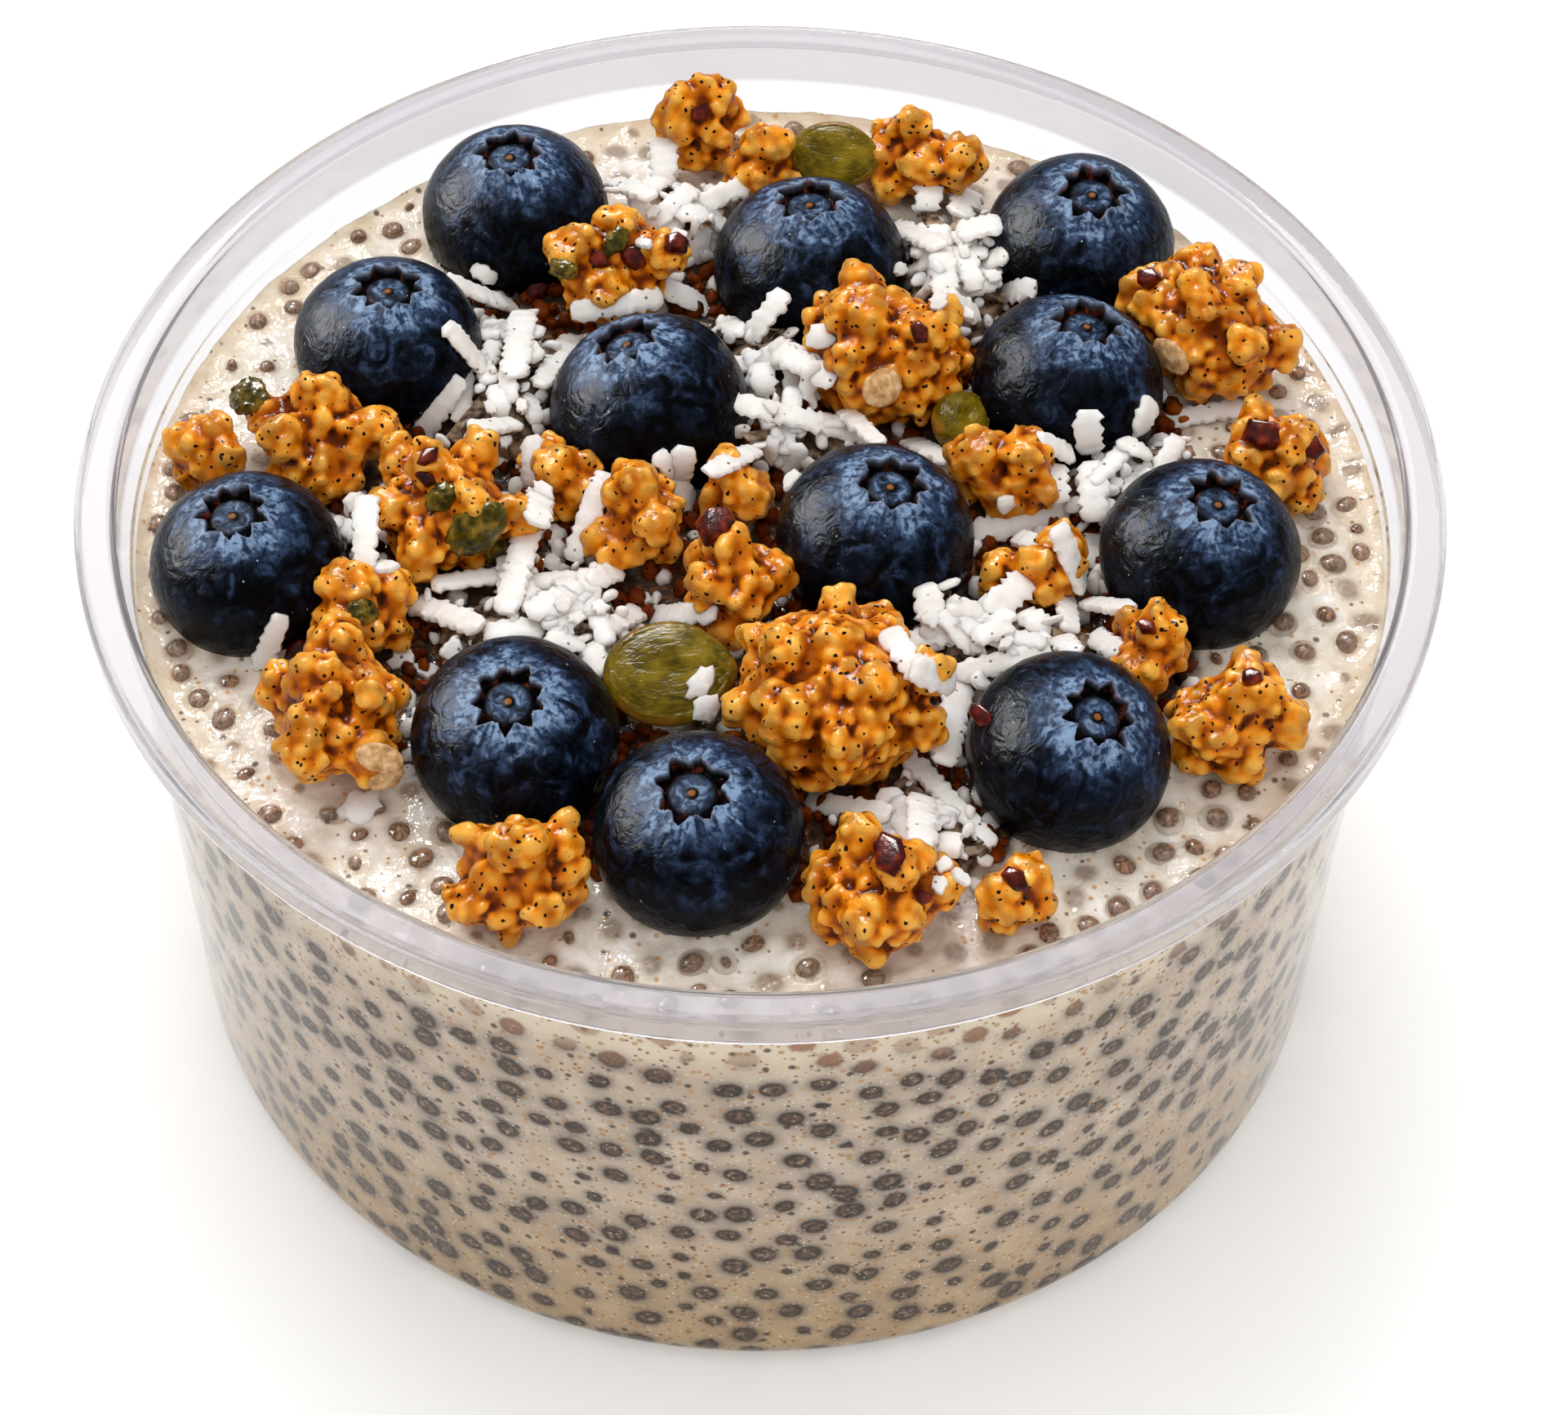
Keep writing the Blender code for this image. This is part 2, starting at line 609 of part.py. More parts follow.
def main():
    for old in list(bpy.data.objects):
        bpy.data.objects.remove(old)
    clear = material("clear_plastic", (0.86, 0.87, 0.88), 0.08)
    cream = material("pudding", (0.66, 0.56, 0.43), 0.35)
    blue = material("blueberry", (0.03, 0.06, 0.13), 0.4)
    gold = material("granola", (0.58, 0.27, 0.06), 0.35)
    white = material("coconut", (0.85, 0.83, 0.79), 0.6)
    green = material("pumpkin_seed", (0.16, 0.17, 0.02), 0.35)

    berries = [Berry(*row) for row in BERRIES]
    clusters = [Heap.standing(*row, CLUSTER_WAIST) for row in GRANOLA]
    mounds = [Heap.standing(*row[:6], MOUND_WAIST) for row in COCONUT]
    seeds = [Heap(x, y, rise, half, turn, tip) for x, y, rise, *half, tip, turn in PUMPKIN_SEEDS]
    heaps = clusters + mounds + seeds
    for heap in heaps:
        heap.keep_from_wall()
        for berry in berries:
            heap.keep_from_berry(berry)
        for other in heaps:
            if other is not heap:
                heap.keep_from_heap(other)

    build_tub(clear)
    build_pudding(berries, heaps, cream)
    build_berries(berries, blue)
    for number, heap in enumerate(clusters):
        build_granola(f"granola_{number + 1:02d}", heap, gold, random.Random(number + 1))
    for number, heap in enumerate(seeds):
        place(f"pumpkin_seed_{number + 1}", heap.core(2), green, 60)
    for number, (heap, row) in enumerate(zip(mounds, COCONUT)):
        neighbours = [surface_tree(made) for made in bpy.context.scene.objects]
        build_coconut(f"coconut_{number + 1:02d}", heap, row[6], neighbours, white)


main()
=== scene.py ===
# %% [markdown]
# # Chia pudding in a clear tub
#
# The real thing is a round tub of clear plastic, filled with pale pudding that is full of chia seeds.
# On top lie twelve blueberries, clusters of golden granola, heaps of coconut shreds and three pumpkin seeds.
# This lesson builds each of them over the solids of the packed model, which give every place and size.
# First it loads that model.

# %% Load the packed solids
import json
import math
import random

import bmesh
import bpy
import numpy as np
from mathutils import Euler, Matrix, Vector, noise
from mathutils.bvhtree import BVHTree
from mathutils.kdtree import KDTree

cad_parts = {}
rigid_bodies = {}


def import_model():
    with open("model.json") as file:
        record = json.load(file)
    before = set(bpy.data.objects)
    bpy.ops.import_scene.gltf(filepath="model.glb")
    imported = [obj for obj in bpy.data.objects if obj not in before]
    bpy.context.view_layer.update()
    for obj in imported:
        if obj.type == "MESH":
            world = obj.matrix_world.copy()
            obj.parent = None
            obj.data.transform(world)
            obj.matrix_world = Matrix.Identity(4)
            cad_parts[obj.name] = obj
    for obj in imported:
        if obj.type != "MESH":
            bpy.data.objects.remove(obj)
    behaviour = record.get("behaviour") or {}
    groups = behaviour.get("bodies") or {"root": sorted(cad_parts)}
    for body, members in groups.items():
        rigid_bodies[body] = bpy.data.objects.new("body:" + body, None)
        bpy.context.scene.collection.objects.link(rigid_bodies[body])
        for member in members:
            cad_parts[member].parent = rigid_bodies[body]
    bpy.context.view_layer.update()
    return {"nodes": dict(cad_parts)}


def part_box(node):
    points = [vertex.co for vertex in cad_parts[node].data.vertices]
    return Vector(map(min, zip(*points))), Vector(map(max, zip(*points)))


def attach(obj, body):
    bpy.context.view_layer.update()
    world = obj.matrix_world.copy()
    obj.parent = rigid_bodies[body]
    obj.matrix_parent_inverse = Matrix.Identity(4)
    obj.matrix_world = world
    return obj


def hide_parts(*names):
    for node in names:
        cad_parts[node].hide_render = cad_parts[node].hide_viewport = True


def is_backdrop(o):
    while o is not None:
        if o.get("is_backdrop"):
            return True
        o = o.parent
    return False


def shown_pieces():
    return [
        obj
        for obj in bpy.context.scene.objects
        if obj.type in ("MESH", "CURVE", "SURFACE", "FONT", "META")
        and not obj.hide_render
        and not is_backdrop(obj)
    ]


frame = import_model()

MM = 0.001
TURN = 2 * math.pi

# %% [markdown]
# ## Camera
#
# The camera looks down at the tub from in front, through a long lens.
# Its place was solved from the ellipses of the rim and the base, and it leans to the side by just under a degree.
# Its three axes are worked out as vectors and put straight into its matrix, because a roll only turns two of them.

# %% Camera
CAMERA_PLACE = Vector((0, -0.2519, 0.3235))
CAMERA_AIM = Vector((0.00225, 0, 0.0278))
CAMERA_ROLL = math.radians(0.93)
CAMERA_LENS = 97.97
SENSOR_WIDTH = 36
NEAREST_SEEN = 0.01


def look(place, aim, roll):
    """A matrix for a camera at a place that looks at a point, rolled to the side."""
    forward = (aim - place).normalized()
    right = forward.cross(Vector((0, 0, 1))).normalized()
    up = right.cross(forward)
    across = right * math.cos(roll) + up * math.sin(roll)
    upward = up * math.cos(roll) - right * math.sin(roll)
    turned = Matrix((across, upward, -forward)).transposed()
    return Matrix.Translation(place) @ turned.to_4x4()


def placed(name, data):
    """A new object in the scene for a mesh, a lamp or a camera."""
    made = bpy.data.objects.new(name, data)
    bpy.context.scene.collection.objects.link(made)
    return made


camera = placed("camera", bpy.data.cameras.new("camera"))
camera.data.lens = CAMERA_LENS
camera.data.sensor_width = SENSOR_WIDTH
camera.data.clip_start = NEAREST_SEEN
camera.matrix_world = look(CAMERA_PLACE, CAMERA_AIM, CAMERA_ROLL)
bpy.context.scene.camera = camera
print("camera distance in mm:", round((CAMERA_AIM - CAMERA_PLACE).length / MM))

# %% [markdown]
# ## Nodes, written as code
#
# Materials and Geometry Nodes are both trees of nodes.
# One small class adds a node and fills its sockets, either with a value or with another node's output.
# A second class holds the few steps that every finish here needs: noise, specks, a soft band, a mix and a bump.

# %% A writer for node trees
class Nodes:
    """Adds nodes to a tree, with sockets set to values or linked to other nodes' outputs."""

    def __init__(self, tree):
        self.tree = tree

    def add(self, kind, sockets=(), **settings):
        node = self.tree.nodes.new(kind)
        for name, value in settings.items():
            setattr(node, name, value)
        for name, value in dict(sockets).items():
            if isinstance(value, bpy.types.NodeSocket):
                self.tree.links.new(value, node.inputs[name])
            else:
                node.inputs[name].default_value = value
        return node

    def math(self, operation, a, b=0.0):
        return self.add("ShaderNodeMath", {0: a, 1: b}, operation=operation).outputs[0]

    def times(self, a, b):
        return self.math("MULTIPLY", a, b)

    def either_way(self, share, depth):
        """A share from 0 to 1 turned into a number that goes as far below 0 as above it."""
        return self.times(self.math("SUBTRACT", share, 0.5), depth)

    def scaled(self, vector, by):
        return self.add("ShaderNodeVectorMath", {0: vector, "Scale": by}, operation="SCALE").outputs[0]

    def combined(self, x, y, z=0.0):
        return self.add("ShaderNodeCombineXYZ", {0: x, 1: y, 2: z}).outputs[0]

    def parts(self, vector):
        return self.add("ShaderNodeSeparateXYZ", {0: vector}).outputs


print("steps that all trees share:", [name for name in vars(Nodes) if not name.startswith("_")])

# %% Colours as seen on a screen
def tint(red, green, blue):
    """A colour as seen on a screen, 0 to 255, turned into the linear values that shaders use."""
    shares = [x / 255 for x in (red, green, blue)]
    return (*[x / 12.92 if x <= 0.04045 else ((x + 0.055) / 1.055) ** 2.4 for x in shares], 1.0)


print("screen white is", tint(255, 255, 255))

# %% A writer for finishes
CHANCE_STEP = 0.02


class Finish(Nodes):
    """A material round one Principled shader."""

    def __init__(self, name, **sockets):
        self.made = bpy.data.materials.new(name)
        self.made.use_nodes = True
        super().__init__(self.made.node_tree)
        self.shader = self.tree.nodes["Principled BSDF"]
        self.place = self.add("ShaderNodeTexCoord").outputs["Object"]
        for socket, value in sockets.items():
            self.shader.inputs[socket.replace("_", " ")].default_value = value

    def wire(self, socket, value):
        self.tree.links.new(value, self.shader.inputs[socket])

    def noise(self, size, detail=2.0, where=None, distortion=0.0):
        """Cloudy noise from 0 to 1, its patches about size millimetres wide."""
        where = where or self.place
        scale = 1 / (size * MM) if where == self.place else 1 / size
        sockets = {"Vector": where, "Scale": scale, "Detail": detail, "Distortion": distortion}
        return self.add("ShaderNodeTexNoise", sockets).outputs[0]

    def specks(self, spacing, inner, outer, chance_low, where=None, ragged=None):
        """A share that is 1 on scattered specks: whole inside the inner radius, gone past the outer one.

        Each point of the pattern has its own chance, and only those above the lowest one get a speck.
        """
        where = where or self.place
        scale = 1 / (spacing * MM) if where == self.place else 1 / spacing
        cells = self.add("ShaderNodeTexVoronoi", {"Vector": where, "Scale": scale})
        chance = self.add("ShaderNodeSeparateColor", {0: cells.outputs["Color"]}).outputs[0]
        distance = cells.outputs["Distance"]
        if ragged is not None:
            distance = self.math("ADD", distance, ragged)
        there = self.band(chance, chance_low, chance_low + CHANCE_STEP)
        return self.times(self.band(distance, inner, outer, 1.0, 0.0), there)

    def band(self, value, low, high, start=0.0, end=1.0):
        """A smooth step from start to end while the value goes from low to high."""
        sockets = {"Value": value, "From Min": low, "From Max": high, "To Min": start, "To Max": end}
        return self.add("ShaderNodeMapRange", sockets, interpolation_type="SMOOTHSTEP").outputs[0]

    def mix(self, share, a, b, blend="MIX"):
        mixed = self.add("ShaderNodeMix", {0: share, 6: a, 7: b}, data_type="RGBA", blend_type=blend)
        return mixed.outputs[2]

    def ramp(self, value, *stops):
        """Colours along a value, as pairs of place and colour."""
        node = self.add("ShaderNodeValToRGB", {0: value})
        elements = node.color_ramp.elements
        elements[0].position, elements[0].color = stops[0]
        elements[1].position, elements[1].color = stops[-1]
        for position, colour in stops[1:-1]:
            elements.new(position).color = colour
        return node.outputs[0]

    def bump(self, height, depth, under=None):
        """A relief of a given depth in millimetres, over another relief if there is one."""
        sockets = {"Height": height, "Distance": depth * MM, "Strength": 1.0}
        if under is not None:
            sockets["Normal"] = under
        return self.add("ShaderNodeBump", sockets).outputs[0]

    def attribute(self, name, output="Vector"):
        """What each point of the piece carries under a name: a vector, or a number with the output Fac."""
        return self.add("ShaderNodeAttribute", attribute_name=name).outputs[output]

    def length(self, vector):
        return self.add("ShaderNodeVectorMath", {0: vector}, operation="LENGTH").outputs["Value"]


print("steps of a finish:", [name for name in vars(Finish) if not name.startswith("_")])

# %% [markdown]
# ## Clear finishes
#
# Plastic and chia gel both let light through. The tub's rim looks milky, because there one looks along the wall and
# not through it, so the same plastic gets a second, cloudier finish for the rim, which also glows faintly: a painted
# light.
# A refracting shader alone would cast a dark shadow here, because straight light rays can't bend through it.
# So each clear finish mixes in a Transparent shader for shadow rays only, which lets the lamps in.

# %% Clear plastic and gel
def let_lamps_through(finish):
    """Makes a clear finish cast no shadow."""
    clear = finish.add("ShaderNodeBsdfTransparent")
    is_shadow = finish.add("ShaderNodeLightPath").outputs["Is Shadow Ray"]
    both = finish.add("ShaderNodeMixShader", {0: is_shadow, 1: finish.shader.outputs[0], 2: clear.outputs[0]})
    finish.tree.links.new(both.outputs[0], finish.tree.nodes["Material Output"].inputs["Surface"])
    return finish.made


clear_plastic = let_lamps_through(Finish(
    "clear_plastic", Base_Color=tint(233, 233, 237), Roughness=0.05, IOR=1.3, Transmission_Weight=1.0))
# The milky finish also glows faintly through its emission, a painted light on the rim.
milky_plastic = let_lamps_through(Finish(
    "milky_plastic", Base_Color=tint(213, 210, 213), Roughness=0.07, IOR=1.32, Transmission_Weight=0.88,
    Emission_Color=tint(228, 230, 238), Emission_Strength=0.03))
chia_gel = let_lamps_through(Finish(
    "chia_gel", Base_Color=tint(250, 246, 240), Roughness=0.04, IOR=1.36, Transmission_Weight=0.97))
print("clear finishes:", clear_plastic.name, milky_plastic.name, chia_gel.name)

# %% [markdown]
# ## Making and finishing pieces
#
# Every piece ends as a plain mesh whose place is in its points, with its object at the origin.
# One helper links such a mesh, smooths its shading, attaches it to what it rides on, and hides the solids that it
# stands for.
# Another turns a bmesh, which is a mesh under construction, into such a plain mesh, with its faces pointing out.

# %% Helpers for pieces
def show(name, mesh, finish, slot, *nodes, sharp=180):
    """Links a finished mesh as a piece of the object."""
    mesh.materials.clear()
    mesh.materials.append(finish)
    mesh.shade_smooth()
    if sharp < 180:
        mesh.set_sharp_from_angle(angle=math.radians(sharp))
    made = placed(name, mesh)
    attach(made, "root")
    if nodes:
        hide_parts(*nodes)
    return made


def triangles(mesh):
    mesh.calc_loop_triangles()
    return len(mesh.loop_triangles)


def from_bmesh(name, bm, outward=True):
    if outward:
        bmesh.ops.recalc_face_normals(bm, faces=bm.faces)
    mesh = bpy.data.meshes.new(name)
    bm.to_mesh(mesh)
    bm.free()
    return mesh


# %% [markdown]
# ## The tub
#
# The real tub is one thin wall of clear plastic: a rounded foot, a side that leans out a little,
# a step where the lid sits, and a flat rim with a short skirt hanging from it.
# It is a turned shape, so it is drawn as one closed line of radius and height, and spun round the middle.
# A mesh may carry two finishes: every face knows its own, and the faces over the lid step get the milky one.
# Each corner of the line gets a small fillet, because it is the rounded edges that catch the light on clear plastic.

# %% The tub's line
def filleted(corners, steps=6):
    """Rounds each corner of a line by its own radius, where it has one."""
    line = []
    for i, (radius, height, round_by) in enumerate(corners):
        here = Vector((radius, height))
        if not round_by:
            line.append(here)
            continue
        before = (Vector(corners[i - 1][:2]) - here).normalized()
        after = (Vector(corners[i + 1][:2]) - here).normalized()
        half = math.acos(max(-1, min(1, before.dot(after)))) / 2
        reach = round_by / math.tan(half)
        centre = here + (before + after).normalized() * round_by / math.sin(half)
        start, end = here + before * reach - centre, here + after * reach - centre
        swing = start.angle_signed(end)
        for step in range(steps + 1):
            a = -swing * step / steps
            line.append(centre + Vector((start.x * math.cos(a) - start.y * math.sin(a),
                                         start.x * math.sin(a) + start.y * math.cos(a))))
    return line


# Radius, height and the radius that rounds the corner
TUB_LINE = (
    (0, 0, 0), (52.5, 0, 3.7), (54.6, 53, 0.6), (55.5, 54.7, 0.6), (55.5, 58.3, 0.25), (57.9, 58.3, 0.2),
    (57.9, 56.2, 0.15), (58.5, 56.2, 0.25), (58.5, 59, 1.0), (54.9, 59, 1.0), (54.9, 55, 0.8), (54, 53.3, 0.8),
    (51.9, 0.8, 3.2), (0, 0.8, 0),
)
tub_line = filleted(TUB_LINE)
print("points on the tub's line:", len(tub_line))

# %% Spin the tub
MERGE_DISTANCE = 0.001 * MM
TUB_SIDES = 192
RIM_FROM = 54.6


def turned(line, sides):
    """A closed shape turned round the upright axis from points given as radius and height in millimetres."""
    bm = bmesh.new()
    points = [bm.verts.new((p[0] * MM, 0, p[1] * MM)) for p in line]
    edges = [bm.edges.new(pair) for pair in zip(points, points[1:])]
    bmesh.ops.spin(bm, geom=points + edges, cent=(0, 0, 0), axis=(0, 0, 1), angle=TURN, steps=sides)
    bmesh.ops.remove_doubles(bm, verts=bm.verts, dist=2 * MERGE_DISTANCE)
    return bm


tub_mesh = from_bmesh("clear_tub", turned(tub_line, TUB_SIDES))
show("clear_tub", tub_mesh, clear_plastic, "clear_plastic", "tub", sharp=40)
tub_mesh.materials.append(milky_plastic)
for face in tub_mesh.polygons:
    face.material_index = int(face.center.z > RIM_FROM * MM)
print("tub triangles:", triangles(tub_mesh))

# %% [markdown]
# ## Where everything lies
#
# The packed solids stand at known places, and a few short tables repeat them here in millimetres.
# The pudding needs the berries' places for the small rise of cream round each of them,
# and the granola and coconut for the same, so the tables come before the pudding.

# %% Tables of the toppings
LEVEL = 51.0
# Blueberries: x, y, height of the middle over the pudding, radius, lean to the right and to the back
BERRIES = (
    (-22.8, 37.4, 2.7, 8.6, -3, 0), (4.2, 30.7, 2.7, 8.8, -1, 5), (28.9, 34.0, 2.6, 8.7, 6, -6),
    (-33.4, 19.4, 3.3, 8.4, 3, 0), (-9.9, 11.6, 3.8, 8.8, -16, 9), (27.0, 15.0, 3.6, 8.6, 11, 4),
    (-43.6, -7.5, 3.6, 8.3, -6, -4), (9.8, -4.1, 4.1, 8.5, 9, -3), (37.5, -5.5, 3.9, 8.6, 8, -4),
    (-20.0, -27.0, 4.2, 8.6, -2, -14), (25.4, -28.0, 4.4, 8.5, 16, -14), (-4.8, -37.0, 4.5, 8.6, -4, -11),
)
BERRY_SQUASH = 0.9
CLUSTERS = [name for name in sorted(frame["nodes"]) if name.startswith("granola")]
HEAPS = [name for name in sorted(frame["nodes"]) if name.startswith("coconut")]
LARGE_SEEDS = [name for name in sorted(frame["nodes"]) if name.startswith("pumpkin")]


def footprint(node):
    """The middle and half sizes of a packed solid, seen from above, in millimetres."""
    low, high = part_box(node)
    return (low.x + high.x) / 2 / MM, (low.y + high.y) / 2 / MM, (high.x - low.x) / 2 / MM, (high.y - low.y) / 2 / MM


heap_prints = np.array([footprint(node) for node in CLUSTERS + HEAPS + LARGE_SEEDS])
berry_table = np.array(BERRIES)
print("berries:", len(BERRIES), "clusters:", len(CLUSTERS), "coconut heaps:", len(HEAPS))

# %% [markdown]
# ## Chia seeds
#
# Soaked chia seeds are small ovals of about 2 mm, each in a capsule of clear gel.
# They keep each other apart, so they are spread by throwing darts and keeping those that land clear of the others.
# The same rule serves the pudding's side, which is unrolled for it, and its top.

# %% Spread points that keep apart
def keep_apart(draw, spacing, tries, throw, distance):
    """Points thrown one by one, each kept if it is far enough from all that were kept before."""
    kept = np.empty((0, 2))
    for _ in range(tries):
        spot = throw(draw)
        if len(kept) == 0 or distance(kept, spot).min() > spacing:
            kept = np.vstack([kept, spot])
    return kept


WALL_RADIUS = 54.0
WALL_FOOT = (51.9, 0.8)
WALL_RISE, WALL_LEAN = 52.5, 2.1
PUDDING_IN_WALL = 0.1


def inner_radius(height):
    """The radius of the tub's inner wall at a height, in millimetres."""
    return WALL_FOOT[0] + (height - WALL_FOOT[1]) / WALL_RISE * WALL_LEAN


def round_the_side(kept, spot):
    apart = np.abs(kept - spot)
    apart[:, 0] = np.minimum(apart[:, 0], TURN - apart[:, 0]) * WALL_RADIUS
    return np.hypot(apart[:, 0], apart[:, 1])


SIDE_START, SIDE_LENGTH = 0.5, 58.0
SIDE_SPACING, SIDE_TRIES = 2.85, 9000
TOP_RADIUS = inner_radius(LEVEL) + PUDDING_IN_WALL
TOP_SPACING, TOP_TRIES, TOP_MARGIN = 2.6, 7000, 1.2


def on_side(draw):
    return np.array((draw.uniform(0, TURN), draw.uniform(SIDE_START, SIDE_LENGTH)))


def on_top(draw):
    radius, angle = (TOP_RADIUS - TOP_MARGIN) * math.sqrt(draw.random()), draw.uniform(0, TURN)
    return np.array((radius * math.cos(angle), radius * math.sin(angle)))


def over_the_top(kept, spot):
    return np.hypot(*(kept - spot).T)


side_draw, top_draw = random.Random(5), random.Random(8)
side_seeds = keep_apart(side_draw, SIDE_SPACING, SIDE_TRIES, on_side, round_the_side)
top_seeds = keep_apart(top_draw, TOP_SPACING, TOP_TRIES, on_top, over_the_top)
print("seeds on the side:", len(side_seeds), "and on top:", len(top_seeds))

# %% [markdown]
# ## The pudding
#
# The pudding fills the tub and reaches just into its wall, so that no air shows between them.
# Its top is a fine grid that is wrapped onto a disc, and its height comes from a rule:
# gentle waves, a lift over each seed, and a rim of cream that climbs every berry, cluster and the wall.
# Each point also keeps where the nearest seed lies, measured in that seed's own length and width.
# The finish draws the seeds from that, which stays sharp although the points are half a millimetre apart.

# %% The pudding's height
RIPPLE_SEED = Vector((3.1, 7.7, 1.3))
# Width of the waves, the layer of noise that they are read from, and their height
RIPPLES = ((9, 0, 0.3), (2.6, 5, 0.32), (1.1, 9, 0.13))
# How high the cream climbs, and over what width
SEED_LIFT, SEED_SPREAD = 0.24, 1.7
AT_WALL, AT_HEAPS, AT_BERRIES = (0.7, 0.7), (0.35, 0.8), (0.75, 0.55)
HEAP_SHORE = 0.86
UNDER_BERRY = 0.1


def ripple(x, y):
    """Gentle waves and small lumps, in millimetres."""
    return sum(height * noise.noise(Vector((x / width, y / width, layer)) + RIPPLE_SEED)
               for width, layer, height in RIPPLES)


def pudding_height(x, y):
    """The height of the pudding's top, in millimetres, for arrays of points."""
    height = LEVEL + np.array([ripple(a, b) for a, b in zip(x, y)])
    height += AT_WALL[0] * np.exp((np.hypot(x, y) - TOP_RADIUS) / AT_WALL[1])
    for sx, sy in top_seeds:
        height += SEED_LIFT * np.exp(-((x - sx) ** 2 + (y - sy) ** 2) / SEED_SPREAD)
    for cx, cy, half_x, half_y in heap_prints:
        out = (np.hypot((x - cx) / half_x, (y - cy) / half_y) - HEAP_SHORE) * min(half_x, half_y)
        height += AT_HEAPS[0] * np.exp(-np.abs(out) / AT_HEAPS[1])
    for cx, cy, rise, radius, *_ in BERRIES:
        away = np.hypot(x - cx, y - cy)
        down = radius * BERRY_SQUASH
        shore = radius * math.sqrt(1 - (rise / down) ** 2)
        height += np.where(away > shore, AT_BERRIES[0] * np.exp(-(away - shore) / AT_BERRIES[1]), 0)
        under = LEVEL + rise - down * np.sqrt(np.clip(1 - (away / radius) ** 2, 0, 1))
        height = np.where(away < shore, np.minimum(height, under - UNDER_BERRY), height)
    return height


print("height at the middle:", pudding_height(np.zeros(1), np.zeros(1)).round(2))

# %% The pudding's grid
TOP_STEPS = 240
SIDE_COLUMNS = 2 * TOP_STEPS
EDGE_DROP = 0.8
# Radius and height of the middle of the foot's rounding, and its own radius
FOOT = (48.83, 4.0, 3.3)
ABOVE_FOOT = 0.3
SIDE_ROWS, FOOT_ROWS = 58, 8


def disc_grid(steps):
    """A square grid wrapped onto a disc of radius 1, row by row."""
    a, b = np.meshgrid(np.linspace(-1, 1, steps + 1), np.linspace(-1, 1, steps + 1))
    flat = np.abs(a) > np.abs(b)
    with np.errstate(divide="ignore", invalid="ignore"):
        radius = np.where(flat, a, b)
        angle = np.where(flat, b / a, 2 - a / b) * math.pi / 4
    angle = np.nan_to_num(angle)
    return (radius * np.cos(angle)).ravel(), (radius * np.sin(angle)).ravel()


def side_line():
    """Points down the pudding's side and round its foot, from the top edge to the flat underside."""
    heights = np.linspace(LEVEL - EDGE_DROP, FOOT[1] + ABOVE_FOOT, SIDE_ROWS)
    line = [(inner_radius(z) + PUDDING_IN_WALL, z) for z in heights]
    for a in np.linspace(0, -math.pi / 2, FOOT_ROWS):
        line.append((FOOT[0] + FOOT[2] * math.cos(a), FOOT[1] + FOOT[2] * math.sin(a)))
    return line


side_points = side_line()
steps_down = [math.dist(a, b) for a, b in zip(side_points, side_points[1:])]
side_lengths = np.concatenate([[0], np.cumsum(steps_down)]) + EDGE_DROP
print("rows down the side:", len(side_points), "over", side_lengths[-1].round(1), "mm")

# %% Build the pudding's mesh
def edge_ring(steps):
    """The indices of the grid's outer points, in order round the disc."""
    wide = steps + 1
    right = [i * wide + steps for i in range(steps)]
    top = [steps * wide + steps - i for i in range(steps)]
    left = [(steps - i) * wide for i in range(steps)]
    bottom = [i for i in range(steps)]
    return right + top + left + bottom


def pudding_mesh():
    """The whole pudding as one closed mesh, the index of its first side point, and the angle of each column of the
    side.
    """
    x, y = disc_grid(TOP_STEPS)
    x, y = x * TOP_RADIUS, y * TOP_RADIUS
    points = list(zip(x, y, pudding_height(x, y)))
    wide = TOP_STEPS + 1
    faces = [(j * wide + i, j * wide + i + 1, (j + 1) * wide + i + 1, (j + 1) * wide + i)
             for j in range(TOP_STEPS) for i in range(TOP_STEPS)]
    ring = edge_ring(TOP_STEPS)
    angles = [math.atan2(y[i], x[i]) for i in ring]
    first = len(points)
    for radius, height in side_points:
        points += [(radius * math.cos(a), radius * math.sin(a), height) for a in angles[::2]]
    for k in range(SIDE_COLUMNS):
        after = (k + 1) % SIDE_COLUMNS
        upper = (ring[2 * k], ring[2 * k + 1], ring[(2 * k + 2) % len(ring)])
        faces.append((first + after, *reversed(upper), first + k))
        for row in range(len(side_points) - 1):
            a, b = first + row * SIDE_COLUMNS, first + (row + 1) * SIDE_COLUMNS
            faces.append((a + k, b + k, b + after, a + after))
    last = first + (len(side_points) - 1) * SIDE_COLUMNS
    faces.append(tuple(reversed(range(last, last + SIDE_COLUMNS))))
    mesh = bpy.data.meshes.new("pudding")
    mesh.from_pydata([tuple(c * MM for c in p) for p in points], [], faces)
    bm = bmesh.new()
    bm.from_mesh(mesh)
    bmesh.ops.recalc_face_normals(bm, faces=bm.faces)
    bm.to_mesh(mesh)
    bm.free()
    return mesh, first, angles[::2]


pudding, first_side_point, column_angles = pudding_mesh()
print("pudding triangles:", triangles(pudding))

# %% The seeds' shapes
SMALL_SHARE = 0.2
SMALL_SEEDS, FULL_SEEDS, SEED_WIDTHS = (0.5, 0.75), (0.85, 1.15), (0.85, 1.1)
# Half length and half width in millimetres
SIDE_SEED, TOP_SEED = (1.12, 1.0), (1.08, 0.95)
TURN_SPREAD = 0.5
TOP_TURN_SPREAD = 6


def seed_shapes(count, draw, half_long, half_wide):
    """Half length, half width, turn and a random tone for each seed."""
    rows = []
    for _ in range(count):
        size = draw.uniform(*SMALL_SEEDS) if draw.random() < SMALL_SHARE else draw.uniform(*FULL_SEEDS)
        wide = half_wide * size * draw.uniform(*SEED_WIDTHS)
        rows.append((half_long * size, wide, draw.gauss(0, TURN_SPREAD), draw.random()))
    return np.array(rows)


